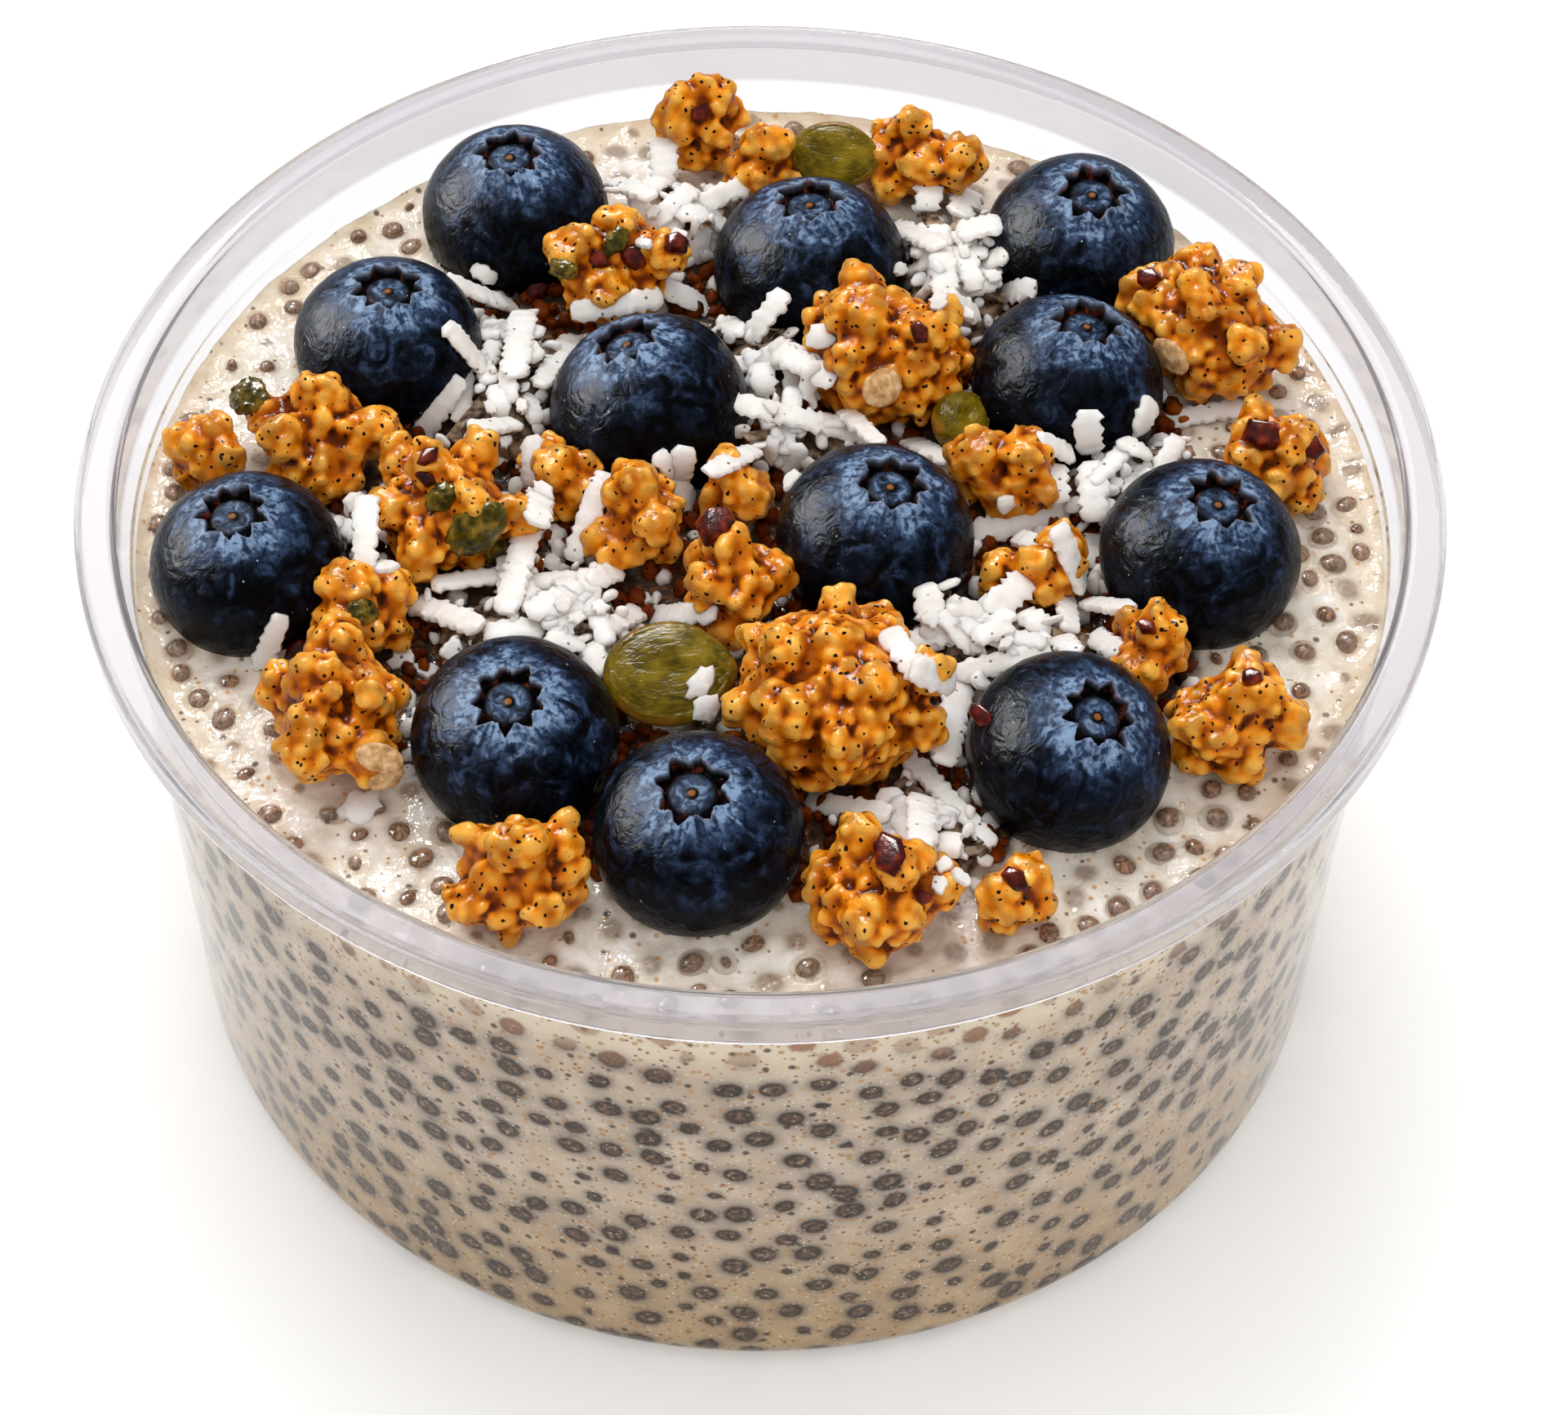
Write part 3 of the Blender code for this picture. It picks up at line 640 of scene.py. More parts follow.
side_shapes = seed_shapes(len(side_seeds), side_draw, *SIDE_SEED)
top_shapes = seed_shapes(len(top_seeds), top_draw, *TOP_SEED)
top_shapes[:, 2] *= TOP_TURN_SPREAD
print("mean half length of a seed on the side:", side_shapes[:, 0].mean().round(2), "mm")

# %% [markdown]
# A tree of points finds the three nearest seeds of each point of the pudding quickly. Their ovals differ in size
# and turn, so the one that counts is the one whose own oval is nearest, which needn't be the nearest middle.

# %% Where the nearest seed lies
def store(mesh, name, values):
    """Keeps a number or a vector on each point of a mesh, for finishes and recipes to read."""
    kind, field = ("FLOAT", "value") if values.ndim == 1 else ("FLOAT_VECTOR", "vector")
    mesh.attributes.new(name, kind, "POINT").data.foreach_set(field, values.astype(np.float32).ravel())


def nearest_seeds(seeds, wanted, offsets, shapes):
    """For each wanted point, its offset from the nearest seed in that seed's half sizes, its length, and a tone."""
    tree = KDTree(len(seeds))
    for i, seed in enumerate(seeds):
        tree.insert(seed, i)
    tree.balance()
    near = np.array([[found[1] for found in tree.find_n(point, 3)] for point in wanted])
    best = None
    for column in near.T:
        along, across = offsets(column)
        cos, sin = np.cos(shapes[column, 2]), np.sin(shapes[column, 2])
        own = np.stack([(along * cos + across * sin) / shapes[column, 0],
                        (across * cos - along * sin) / shapes[column, 1]], 1)
        rows = np.column_stack([own, np.hypot(*own.T), shapes[column, 3]])
        best = rows if best is None else np.where((rows[:, 2] < best[:, 2])[:, None], rows, best)
    return best


points = np.array([v.co for v in pudding.vertices]) / MM
lengths = np.repeat(side_lengths, SIDE_COLUMNS)
column_angle = np.tile(column_angles, len(side_points))


def on_wall(angle, length):
    return np.stack([WALL_RADIUS * np.cos(angle), WALL_RADIUS * np.sin(angle), length], 1)


def side_offsets(seed):
    swing = (column_angle - side_seeds[seed, 0] + math.pi) % TURN - math.pi
    return swing * WALL_RADIUS, side_seeds[seed, 1] - lengths


def top_offsets(seed):
    return (points[:first_side_point, :2] - top_seeds[seed]).T


flat_seeds = np.column_stack([top_seeds, np.zeros(len(top_seeds))])
seed_rows = np.vstack([
    nearest_seeds(flat_seeds, points[:first_side_point] * (1, 1, 0), top_offsets, top_shapes),
    nearest_seeds(on_wall(*side_seeds.T), on_wall(column_angle, lengths), side_offsets, side_shapes)])
store(pudding, "seed_map", seed_rows[:, :3])
store(pudding, "seed_tone", seed_rows[:, 3])
print("points with a seed map:", len(seed_rows), "inside a seed:", int((seed_rows[:, 2] < 1).sum()))

# %% Where toppings crowd together
CROWD_REACH, GAP_SHADE_FROM = 2.9, 1.4
CROWD_RADIUS, CROWD_FADE = 44.0, 6


def crowding(x, y):
    """How closely toppings stand round each place, about 1 beside one topping and 2 between two."""
    total = np.zeros(len(x))
    for cx, cy, half_x, half_y in heap_prints:
        out = (np.hypot((x - cx) / half_x, (y - cy) / half_y) - 1) * min(half_x, half_y)
        total += np.exp(-(np.maximum(out, 0) / CROWD_REACH) ** 2)
    for cx, cy, _, radius, *_ in BERRIES:
        out = np.hypot(x - cx, y - cy) - radius
        total += np.exp(-(np.maximum(out, 0) / CROWD_REACH) ** 2)
    return total


crowd = np.zeros(len(points))
crowd[:first_side_point] = crowding(*points[:first_side_point, :2].T)
crowd *= np.clip((CROWD_RADIUS - np.hypot(*points[:, :2].T)) / CROWD_FADE, 0, 1)
# The top's finish paints the cream dark brown where this is high: a painted shade between the toppings.
store(pudding, "crowd", crowd)
print("points between crowded toppings:", int((crowd > GAP_SHADE_FROM).sum()))

# %% [markdown]
# ## The pudding's finish
#
# The pudding is one mesh with two finishes. Through the wall it is beige and has no gloss of its own,
# and each seed is a dark oval with a soft grey shade round it. On top the cream is paler and wet.
# Both are drawn from the seed map, with noise for the uneven edges.
# Scattered points give the dark crumbs of seed coat and the golden specks.
# Where the toppings crowd together, the cream is painted dark brown as painted shade, since little light gets down
# there. The side is painted darker towards the bottom, a painted shade, and its seeds get painted glints.

# %% Specks and seeds in a finish
SPECK_STRENGTH = 0.85
# Where a speck's edge begins and ends, as shares of its radius
SPECK_EDGE = (0.6, 1.4)


def speckled(finish, colour, kinds):
    """Lays small specks over a colour, each kind with its spacing, radius, share and colour."""
    for spacing, radius, chance_low, speck in kinds:
        share = finish.specks(spacing, radius * SPECK_EDGE[0], radius * SPECK_EDGE[1], chance_low)
        colour = finish.mix(finish.times(share, SPECK_STRENGTH), colour, tint(*speck))
    return colour


def seed_distances(finish):
    """How far each place is from its seed's middle, in the seed's half sizes, with an uneven edge and without."""
    mapped = finish.parts(finish.attribute("seed_map"))
    plain = finish.length(finish.combined(mapped[0], mapped[1]))
    wobble = finish.either_way(finish.noise(0.6, 3), 0.3)
    plain = finish.math("MAXIMUM", plain, finish.math("SUBTRACT", mapped[2], 0.1))
    return finish.math("ADD", plain, wobble), finish.math("ADD", mapped[2], wobble)


print("a speck goes from full to nothing between", SPECK_EDGE, "of its radius")

# %% The finish of the pudding's side
# Spacing, radius, lowest chance and colour of each kind of speck
SIDE_SPECKS = ((0.8, 0.2, 0.4, (170, 112, 62)), (1.1, 0.24, 0.25, (206, 156, 98)), (1.6, 0.19, 0.45, (48, 30, 18)),
               (1.0, 0.17, 0.35, (112, 68, 36)), (0.6, 0.18, 0.45, (255, 246, 226)))


def side_finish():
    """The pudding behind the wall, which it wets, so that it has no gloss of its own."""
    cream = Finish("chia_pudding_side", Roughness=0.8, Specular_IOR_Level=0.0)
    near_top = cream.band(cream.parts(cream.place)[2], (LEVEL - 7) * MM, (LEVEL - 1.5) * MM)
    away, halo_away = seed_distances(cream)
    tone = cream.attribute("seed_tone", "Fac")
    colour = cream.ramp(cream.noise(4, 3), (0.3, tint(213, 190, 160)), (0.5, tint(227, 206, 178)),
                        (0.72, tint(243, 226, 201)))
    colour = cream.mix(cream.times(near_top, 0.92), colour, tint(255, 240, 212))
    low_veil = cream.band(near_top, 0, 1, 1.0, 0.12)
    wide_halo = cream.times(cream.band(halo_away, 1.2, 2.8, 0.5, 0.0), low_veil)
    colour = cream.mix(wide_halo, colour, tint(196, 184, 172))
    halo = cream.times(cream.band(halo_away, 0.85, 1.85, 0.9, 0.0), low_veil)
    colour = cream.mix(halo, colour, tint(148, 133, 118))
    # Painted shade: the side gets darker towards the bottom, as the light comes from above.
    low_shade = cream.band(cream.parts(cream.place)[2], 4 * MM, 30 * MM, 1.0, 0.0)
    colour = cream.mix(low_shade, colour, tint(238, 224, 197), "MULTIPLY")
    colour = speckled(cream, colour, SIDE_SPECKS)
    inside = cream.ramp(cream.noise(0.5, 2), (0.32, tint(48, 34, 22)), (0.48, tint(92, 69, 50)),
                        (0.62, tint(134, 106, 82)), (0.76, tint(206, 184, 162)))
    inside = cream.mix(cream.band(away, 0.5, 0.95, 0.0, 0.9), inside, tint(22, 12, 6))
    inside = cream.mix(cream.times(near_top, 0.9), inside, tint(182, 134, 98))
    faint = cream.times(cream.math("SUBTRACT", 1.0, tone), near_top)
    core = cream.times(cream.band(away, 0.8, 1.2, 0.97, 0.0), cream.band(faint, 0.15, 0.75, 1.0, 0.5))
    colour = cream.mix(core, colour, inside)
    # Painted glints: white dots on the seeds, since this finish has no gloss of its own.
    painted_glint = cream.times(cream.specks(0.6, 0.08, 0.2, 0.72), core)
    colour = cream.mix(cream.times(painted_glint, SPECK_STRENGTH), colour, tint(240, 234, 226))
    cream.wire("Base Color", colour)
    return cream.made


pudding_side = side_finish()
print("nodes in the side's finish:", len(pudding_side.node_tree.nodes))

# %% The finish of the pudding's top
TOP_SPECKS = ((1.1, 0.14, 0.6, (178, 118, 60)), (1.3, 0.17, 0.6, (206, 156, 92)), (2.3, 0.13, 0.35, (62, 44, 32)),
              (1.5, 0.13, 0.45, (104, 72, 46)))


def top_finish():
    """The pudding's wet top, with shades over the sunk seeds and a painted dark brown shade between the toppings."""
    cream = Finish("chia_pudding", Roughness=0.09, IOR=1.4)
    away, halo_away = seed_distances(cream)
    colour = cream.ramp(cream.noise(3, 3), (0.3, tint(216, 202, 182)), (0.5, tint(238, 228, 213)),
                        (0.7, tint(252, 246, 238)))
    radius = cream.length(cream.place)
    colour = cream.mix(cream.band(radius, 0.0705, 0.0745, 0.0, 0.45), colour, tint(228, 200, 156))
    colour = cream.mix(cream.band(halo_away, 0.8, 1.7, 0.42, 0.0), colour, tint(150, 126, 100))
    colour = speckled(cream, colour, TOP_SPECKS)
    inside = cream.ramp(cream.noise(0.5, 2), (0.3, tint(96, 74, 58)), (0.55, tint(136, 108, 88)),
                        (0.75, tint(176, 150, 126)))
    colour = cream.mix(cream.band(away, 0.6, 1.16, 0.52, 0.0), colour, inside)
    # Painted shade: dark brown cream where the toppings crowd together.
    crowd_share = cream.attribute("crowd", "Fac")
    uneven = cream.either_way(cream.noise(1.6), 0.7)
    between = cream.band(cream.math("ADD", crowd_share, uneven), 1.0, 1.5, 0.0, 0.96)
    gap_shade = cream.ramp(cream.noise(0.9, 3), (0.38, tint(20, 11, 6)), (0.55, tint(62, 36, 17)),
                        (0.7, tint(128, 82, 38)))
    cream.wire("Base Color", cream.mix(between, colour, gap_shade))
    cream.wire("Normal", cream.bump(cream.noise(1.0, 2), 0.2))
    return cream.made


show("pudding_fill", pudding, top_finish(), "chia_pudding", "pudding", sharp=60)
pudding.materials.append(pudding_side)
side_faces = [max(p.vertices) >= first_side_point for p in pudding.polygons]
pudding.polygons.foreach_set("material_index", np.array(side_faces, np.int32))
print("faces of the pudding's side:", sum(side_faces))

# %% [markdown]
# ## Things scattered on points
#
# Seeds, gel capsules and crumbs are one small shape each, repeated hundreds of times.
# Geometry Nodes do that: a tree puts a little ball on every point, with the point's own turn and size,
# roughens it, makes the copies real and gives them their finish. One tree serves them all.
# A helper takes the plain mesh that comes out, and throws away the object that carried the tree.

# %% A recipe for scattered pieces
DENSEST = 4.0e6


class Recipe(Nodes):
    """A Geometry Nodes tree with named inputs, a fixed start and a fixed end."""

    def __init__(self, name, **inputs):
        super().__init__(bpy.data.node_groups.new(name, "GeometryNodeTree"))
        face = self.tree.interface
        face.new_socket(name="Geometry", in_out="INPUT", socket_type="NodeSocketGeometry")
        self.identifiers = {}
        for label, default in inputs.items():
            kind = "NodeSocketInt" if isinstance(default, int) else "NodeSocketFloat"
            socket = face.new_socket(name=label.replace("_", " "), in_out="INPUT", socket_type=kind)
            socket.default_value = default
            self.identifiers[label] = socket.identifier
        face.new_socket(name="Geometry", in_out="OUTPUT", socket_type="NodeSocketGeometry")
        self.inputs = self.add("NodeGroupInput").outputs

    def close(self, geometry, finish):
        """Ends the tree: the copies made real, then the finish."""
        done = self.add("GeometryNodeSetMaterial", {"Geometry": self.real(geometry), "Material": finish})
        smooth = self.add("GeometryNodeSetShadeSmooth", {0: done.outputs[0]})
        self.add("NodeGroupOutput", {0: smooth.outputs[0]})
        return self

    def own(self, name):
        """A vector that each point carries."""
        node = self.add("GeometryNodeInputNamedAttribute", {"Name": name}, data_type="FLOAT_VECTOR")
        return node.outputs[0]

    def spread(self, mesh):
        """Points over a mesh, no two closer than the spacing. So many are thrown that only the spacing thins them."""
        return self.add("GeometryNodeDistributePointsOnFaces", {
            "Mesh": mesh, "Distance Min": self.inputs["Spacing"], "Density Max": DENSEST, "Seed": self.inputs["Seed"],
        }, distribute_method="POISSON").outputs

    def chance(self, low, high, number):
        """A random vector between two others for each point."""
        sockets = {0: low, 1: high, 8: number}
        return self.add("FunctionNodeRandomValue", sockets, data_type="FLOAT_VECTOR").outputs[0]

    def rotation(self, angles):
        return self.add("FunctionNodeEulerToRotation", {0: angles}).outputs[0]

    def real(self, copies):
        return self.add("GeometryNodeRealizeInstances", {0: copies}).outputs[0]

    def together(self, *parts):
        both = self.add("GeometryNodeJoinGeometry")
        for part in parts:
            self.tree.links.new(part, both.inputs[0])
        return both.outputs[0]

    def inward(self, geometry, normal, depth):
        """Moves points against their normals by a depth."""
        step = self.scaled(normal, self.times(depth, -1.0))
        return self.add("GeometryNodeSetPosition", {"Geometry": geometry, "Offset": step}).outputs[0]

    def roughen(self, geometry, size, depth):
        """Moves a shape's points by noise, so that no two copies are alike."""
        sockets = {"Scale": 1 / (size * MM), "Detail": 1.0}
        cloud = self.add("ShaderNodeTexNoise", sockets, noise_dimensions="3D").outputs["Color"]
        centred = self.add("ShaderNodeVectorMath", {0: cloud, 1: (0.5, 0.5, 0.5)}, operation="SUBTRACT").outputs[0]
        sockets = {"Geometry": geometry, "Offset": self.scaled(centred, depth)}
        return self.add("GeometryNodeSetPosition", sockets).outputs[0]


print("steps of a recipe:", [name for name in vars(Recipe) if not name.startswith("_")])

# %% A recipe for little balls on points
def worked(mesh, *modifiers):
    """The plain mesh that a mesh becomes under a row of modifiers, each a kind and its settings."""
    carrier = placed("carrier", mesh)
    for kind, settings in modifiers:
        modifier = carrier.modifiers.new(kind.lower(), kind)
        recipe = settings.get("recipe")
        if recipe:
            modifier.node_group = recipe.tree
            for name, value in settings["inputs"].items():
                modifier[recipe.identifiers[name]] = value
        else:
            for name, value in settings.items():
                setattr(modifier, name, value)
    bpy.context.view_layer.update()
    evaluated = carrier.evaluated_get(bpy.context.evaluated_depsgraph_get())
    plain = bpy.data.meshes.new_from_object(evaluated)
    bpy.data.objects.remove(carrier)
    return plain


def scatter_recipe(name, finish):
    """Small roughened balls on points that carry their own turn and size."""
    recipe = Recipe(name, Sides=2, Roughness=0.0)
    ball = recipe.add("GeometryNodeMeshIcoSphere", {"Radius": 1.0, "Subdivisions": recipe.inputs["Sides"]})
    turned_by = recipe.rotation(recipe.own("turn"))
    copies = recipe.add("GeometryNodeInstanceOnPoints", {
        "Points": recipe.inputs["Geometry"], "Instance": ball.outputs[0], "Rotation": turned_by,
        "Scale": recipe.own("size")})
    rough = recipe.roughen(recipe.real(copies.outputs[0]), 0.6, recipe.inputs["Roughness"])
    return recipe.close(rough, finish)


def scattered(name, rows, finish, sides=2, roughness=0.0):
    """A mesh of small balls from rows of place, turn and size, places and sizes in millimetres."""
    mesh = bpy.data.meshes.new(name)
    mesh.from_pydata([tuple(c * MM for c in row[0]) for row in rows], [], [])
    for label, column_number, unit in (("turn", 1, 1), ("size", 2, MM)):
        store(mesh, label, np.array([row[column_number] for row in rows], np.float32) * unit)
    recipe = scatter_recipe(name + "_recipe", finish)
    inputs = {"Sides": sides, "Roughness": roughness * MM}
    plain = worked(mesh, ("NODES", {"recipe": recipe, "inputs": inputs}))
    plain.name = name
    return plain


print("the recipe's parts: ball, copies, real, roughened, finished")

# %% [markdown]
# ## Seeds and gel on top
#
# On top the seeds are beads that stand a little out of the cream, brown and glossy with a swirl of copper,
# each under a dome of clear gel. Some have sunk, and only show as a shade in the cream.

# %% Seeds and gel on top
seed_coat = Finish("chia_seed", Roughness=0.14, IOR=1.48, Coat_Weight=0.5, Coat_Roughness=0.04)
swirl = seed_coat.noise(1.0, 3, distortion=2.5)
seed_coat.wire("Base Color", seed_coat.ramp(
    swirl, (0.28, tint(70, 46, 34)), (0.45, tint(120, 88, 66)), (0.58, tint(156, 126, 104)),
    (0.68, tint(178, 112, 58)), (0.8, tint(226, 206, 188))))
seed_coat.wire("Normal", seed_coat.bump(seed_coat.noise(0.4), 0.05))

BERRY_OVERHANG, HEAP_SHARE = 1.2, 0.85


def is_bare(x, y, margin):
    """True where no topping covers the pudding."""
    clear = np.hypot(berry_table[:, 0] - x, berry_table[:, 1] - y) > berry_table[:, 3] - BERRY_OVERHANG + margin
    reach = np.hypot((heap_prints[:, 0] - x) / (heap_prints[:, 2] + margin),
                     (heap_prints[:, 1] - y) / (heap_prints[:, 3] + margin))
    return bool(clear.all() and (reach > HEAP_SHARE).all())


CROWDED = 1.35
# Seeds of a higher tone have sunk, and those of a lower tone have a dome
SUNK_TONE, DOME_TONE = 0.78, 0.42
BEAD_SHARE, BEAD_HALF_HEIGHT, BEAD_TILT, BEAD_DEPTHS = 0.92, 0.62, 0.2, (-0.05, 0.3)
DOME_SIZES, DOME_WIDTH, DOME_HALF_HEIGHT, DOME_SHIFT, DOME_DEPTH = (1.25, 1.6), 0.9, 0.8, 0.3, 0.15
EDGE_MARGIN, TOPPING_MARGIN = 1.3, -0.4
bead_draw = random.Random(21)
beads, domes = [], []
bead_heights = pudding_height(*top_seeds.T)
for (x, y), z, (half_long, half_wide, turn, tone) in zip(top_seeds, bead_heights, top_shapes):
    covered = not is_bare(x, y, TOPPING_MARGIN) or crowding(np.array([x]), np.array([y]))[0] > CROWDED
    if tone > SUNK_TONE or covered or math.hypot(x, y) > TOP_RADIUS - EDGE_MARGIN:
        continue
    sunk = bead_draw.uniform(*BEAD_DEPTHS)
    beads.append(((x, y, z - sunk), (bead_draw.gauss(0, BEAD_TILT), bead_draw.gauss(0, BEAD_TILT), turn),
                  (half_long * BEAD_SHARE, half_wide * BEAD_SHARE, BEAD_HALF_HEIGHT)))
    if tone < DOME_TONE:
        shift = [bead_draw.uniform(-DOME_SHIFT, DOME_SHIFT) for _ in range(2)]
        size = bead_draw.uniform(*DOME_SIZES)
        sizes = (size, size * DOME_WIDTH, DOME_HALF_HEIGHT)
        domes.append(((x + shift[0], y + shift[1], z - DOME_DEPTH), (0, 0, turn), sizes))
bead_mesh = scattered("chia_beads", beads, seed_coat.made)
show("chia_beads", bead_mesh, seed_coat.made, "chia_pudding")
dome_mesh = scattered("gel_domes", domes, chia_gel, sides=3)
show("gel_domes", dome_mesh, chia_gel, "chia_pudding")
print("beads:", len(beads), triangles(bead_mesh), "domes:", len(domes), triangles(dome_mesh))

# %% [markdown]
# ## Blueberries
#
# A blueberry is a flattened ball with a star-shaped crown round a sunken dish, and a dot where the flower was.
# It is built ring by ring. The rings of the crown follow the star's edge, whose notches are as uneven as real ones.
# Each point keeps its place in its own berry, and how deep in the crown it lies, for the finish to read.

# %% A blueberry's shape
BERRY_SIDES = 120
BERRY_LATITUDES = np.concatenate([np.linspace(-88, 36, 18), (42, 48, 53, 57)])
# The crown in shares of the berry's radius: its own radius, how torn its edge is, and how deep the dish ends
CROWN_RADIUS, TORN, DISH_END = 0.28, 0.006, 0.09
# Its notches: how many, how far off an even spacing, how wide in shares of that spacing, and how tall
NOTCHES, NOTCH_SHIFT, NOTCH_WIDTHS, NOTCH_HEIGHTS = (8, 9), 0.16, (0.34, 0.5), (0.06, 0.14)
# The crown's edge is bent up and down at so many places, by so much
BENDS, BEND_HEIGHTS = 6, (-0.012, 0.02)
# The crown's rings: distance from the star's edge or from the middle, height over the ball, and finish marks
CROWN_RINGS = (
    ("edge", 0.085, 0.004, 0, 0), ("edge", 0.045, 0.018, 0, 0), ("edge", 0.015, 0.028, 0, 0.5),
    ("edge", 0.0, 0.02, 0.4, 1), ("edge", -0.012, -0.02, 1, 0.4), ("edge", -0.016, -0.085, 1, 0),
    ("edge", -0.03, -0.15, 1, 0),
    ("middle", 0.245, -0.145, 1, 0), ("middle", 0.235, -0.1, 0.5, 0), ("middle", 0.2, -0.085, 0, 0),
    ("middle", 0.12, -0.1, 0, 0), ("middle", 0.06, -0.108, 0, 0), ("middle", 0.045, -0.095, 0, 0),
    ("middle", 0.02, -0.09, 0, 0),
)


def star_edge(draw):
    """The radius of the crown's edge all round, with uneven pointed notches."""
    count = draw.randint(*NOTCHES)
    angles = np.linspace(0, TURN, BERRY_SIDES, endpoint=False)
    edge = np.full(BERRY_SIDES, CROWN_RADIUS)
    for k in range(count):
        middle = TURN * (k + draw.uniform(-NOTCH_SHIFT, NOTCH_SHIFT)) / count
        half = TURN / count * draw.uniform(*NOTCH_WIDTHS)
        tall = draw.uniform(*NOTCH_HEIGHTS)
        off = np.abs((angles - middle + math.pi) % TURN - math.pi)
        edge = np.maximum(edge, CROWN_RADIUS + tall * (1 - off / half))
    return edge + TORN * np.array([draw.gauss(0, 1) for _ in range(BERRY_SIDES)])


def berry_rings(draw):
    """Rings of points for a berry of radius 1, from its underside to its dish, with marks for the finish."""
    angles = np.linspace(0, TURN, BERRY_SIDES, endpoint=False)
    edge = star_edge(draw)
    bends = [draw.uniform(*BEND_HEIGHTS) for _ in range(BENDS)]
    lift = np.interp(angles, np.linspace(0, TURN, BENDS + 1), [*bends, bends[0]])
    rings = []
    for latitude in np.radians(BERRY_LATITUDES):
        radius, height = math.cos(latitude), BERRY_SQUASH * math.sin(latitude)
        rings.append((np.full(BERRY_SIDES, radius), np.full(BERRY_SIDES, height), 0, 0))
    for base, offset, height, wall, rim in CROWN_RINGS:
        radius = edge + offset if base == "edge" else np.full(BERRY_SIDES, offset)
        ball = BERRY_SQUASH * np.sqrt(1 - radius ** 2)
        rings.append((radius, ball + height + (lift if base == "edge" and height > 0 else 0), wall, rim))
    return angles, rings


print("crown rings:", len(CROWN_RINGS), "and rings below the crown:", len(BERRY_LATITUDES))

# %% One blueberry's mesh
# How far each berry is turned past the one before it, and how far apart their dents are read from the noise
BERRY_TURN, BERRY_SHIFT = TURN / 7, (3.7, 1.9)
# Dents: their size as a share of the radius, and how many there are to a radius
DENTS = ((0.018, 1.6), (0.005, 6))


def wrap(bm, rings):
    """Joins each ring of points to the next by a belt of faces."""
    for low, high in zip(rings, rings[1:]):
        for k in range(len(low)):
            after = (k + 1) % len(low)
            bm.faces.new((low[k], low[after], high[after], high[k]))


def blueberry_mesh(name, row, number):
    """One berry, leaning as it does in the tub, with its own small dents."""
    x, y, rise, radius, lean_right, lean_back = row
    draw = random.Random(100 + number)
    angles, rings = berry_rings(draw)
    lean = Euler((math.radians(-lean_back), math.radians(lean_right), 0)).to_matrix()
    turn = lean @ Matrix.Rotation(BERRY_TURN * number, 3, "Z")
    middle = Vector((x, y, LEVEL + rise))
    shift = Vector((number * BERRY_SHIFT[0], number * BERRY_SHIFT[1], 0))
    bm = bmesh.new()
    place = bm.verts.layers.float_vector.new("berry_place")
    marks = bm.verts.layers.float_vector.new("crown_marks")

    def point(local, wall, rim):
        dent = sum(depth * noise.noise(local * often + shift) for depth, often in DENTS)
        made = bm.verts.new((middle + turn @ (local * (radius * (1 + dent)))) * MM)
        made[place] = local
        made[marks] = (wall, rim, number / len(BERRIES))
        return made

    rows = []
    for ring_radius, ring_height, wall, rim in rings:
        rows.append([point(Vector((r * math.cos(a), r * math.sin(a), h)), wall, rim)
                     for a, r, h in zip(angles, ring_radius, ring_height)])
    bottom = point(Vector((0, 0, -BERRY_SQUASH)), 0, 0)
    top = point(Vector((0, 0, BERRY_SQUASH - DISH_END)), 0, 0)
    for i in range(BERRY_SIDES):
        after = (i + 1) % BERRY_SIDES
        bm.faces.new((bottom, rows[0][after], rows[0][i]))
        bm.faces.new((top, rows[-1][i], rows[-1][after]))
    wrap(bm, rows)
    return from_bmesh(name, bm)


print("points on one berry:", 2 + BERRY_SIDES * (len(BERRY_LATITUDES) + len(CROWN_RINGS)))

# %% [markdown]
# The skin is almost black, under a blue bloom that is thick round the crown and wiped off in streaks.
# The streaks run down from the crown, so the noise is read from the direction round the berry rather than from its
# place. The inside of the crown is brown, and its torn edge is pale, partly its own colour and partly a painted
# highlight. Tiny pale specks over the skin are painted glints.

# %% Blueberry skin
skin = Finish("blueberry_skin", Roughness=0.28, IOR=1.4, Specular_IOR_Level=0.12)
berry_place = skin.attribute("berry_place")
bx, by, bz = skin.parts(berry_place)
flat_place = skin.combined(bx, by)
from_axis = skin.length(flat_place)
round_way = skin.add("ShaderNodeVectorMath", {0: flat_place}, operation="NORMALIZE").outputs[0]
wx, wy, _ = skin.parts(round_way)
mark = skin.parts(skin.attribute("crown_marks"))
along = skin.math("ADD", skin.times(bz, 0.5), skin.times(mark[2], 37.0))
streaks = skin.noise(0.2, 4, where=skin.combined(wx, wy, along), distortion=0.5)
patches = skin.noise(2.6, 4, distortion=1.4)
fine = skin.noise(0.6, 3, distortion=0.5)
upper = skin.band(bz, -0.25, 0.6)
ring = skin.band(skin.math("ADD", from_axis, skin.either_way(streaks, 0.7)),
                 0.36, 0.78, 1.0, 0.0)
ring = skin.times(ring, skin.band(streaks, 0.3, 0.64, 0.45, 1.0))
bloom = skin.times(ring, 0.78)
worn = skin.times(skin.band(patches, 0.38, 0.68), skin.band(streaks, 0.32, 0.64, 0.35, 1.0))
bloom = skin.math("ADD", bloom, skin.times(skin.times(worn, upper), 0.46))
bloom = skin.times(bloom, skin.band(fine, 0.3, 0.62, 0.55, 1.2))
colour = skin.ramp(bloom, (0.0, tint(2, 3, 5)), (0.22, tint(15, 24, 40)), (0.5, tint(44, 62, 92)),
                   (0.95, tint(128, 154, 186)))
at_top = skin.band(bz, 0.5, 0.6)
dish = skin.times(skin.band(from_axis, 0.235, 0.26, 1.0, 0.0), at_top)
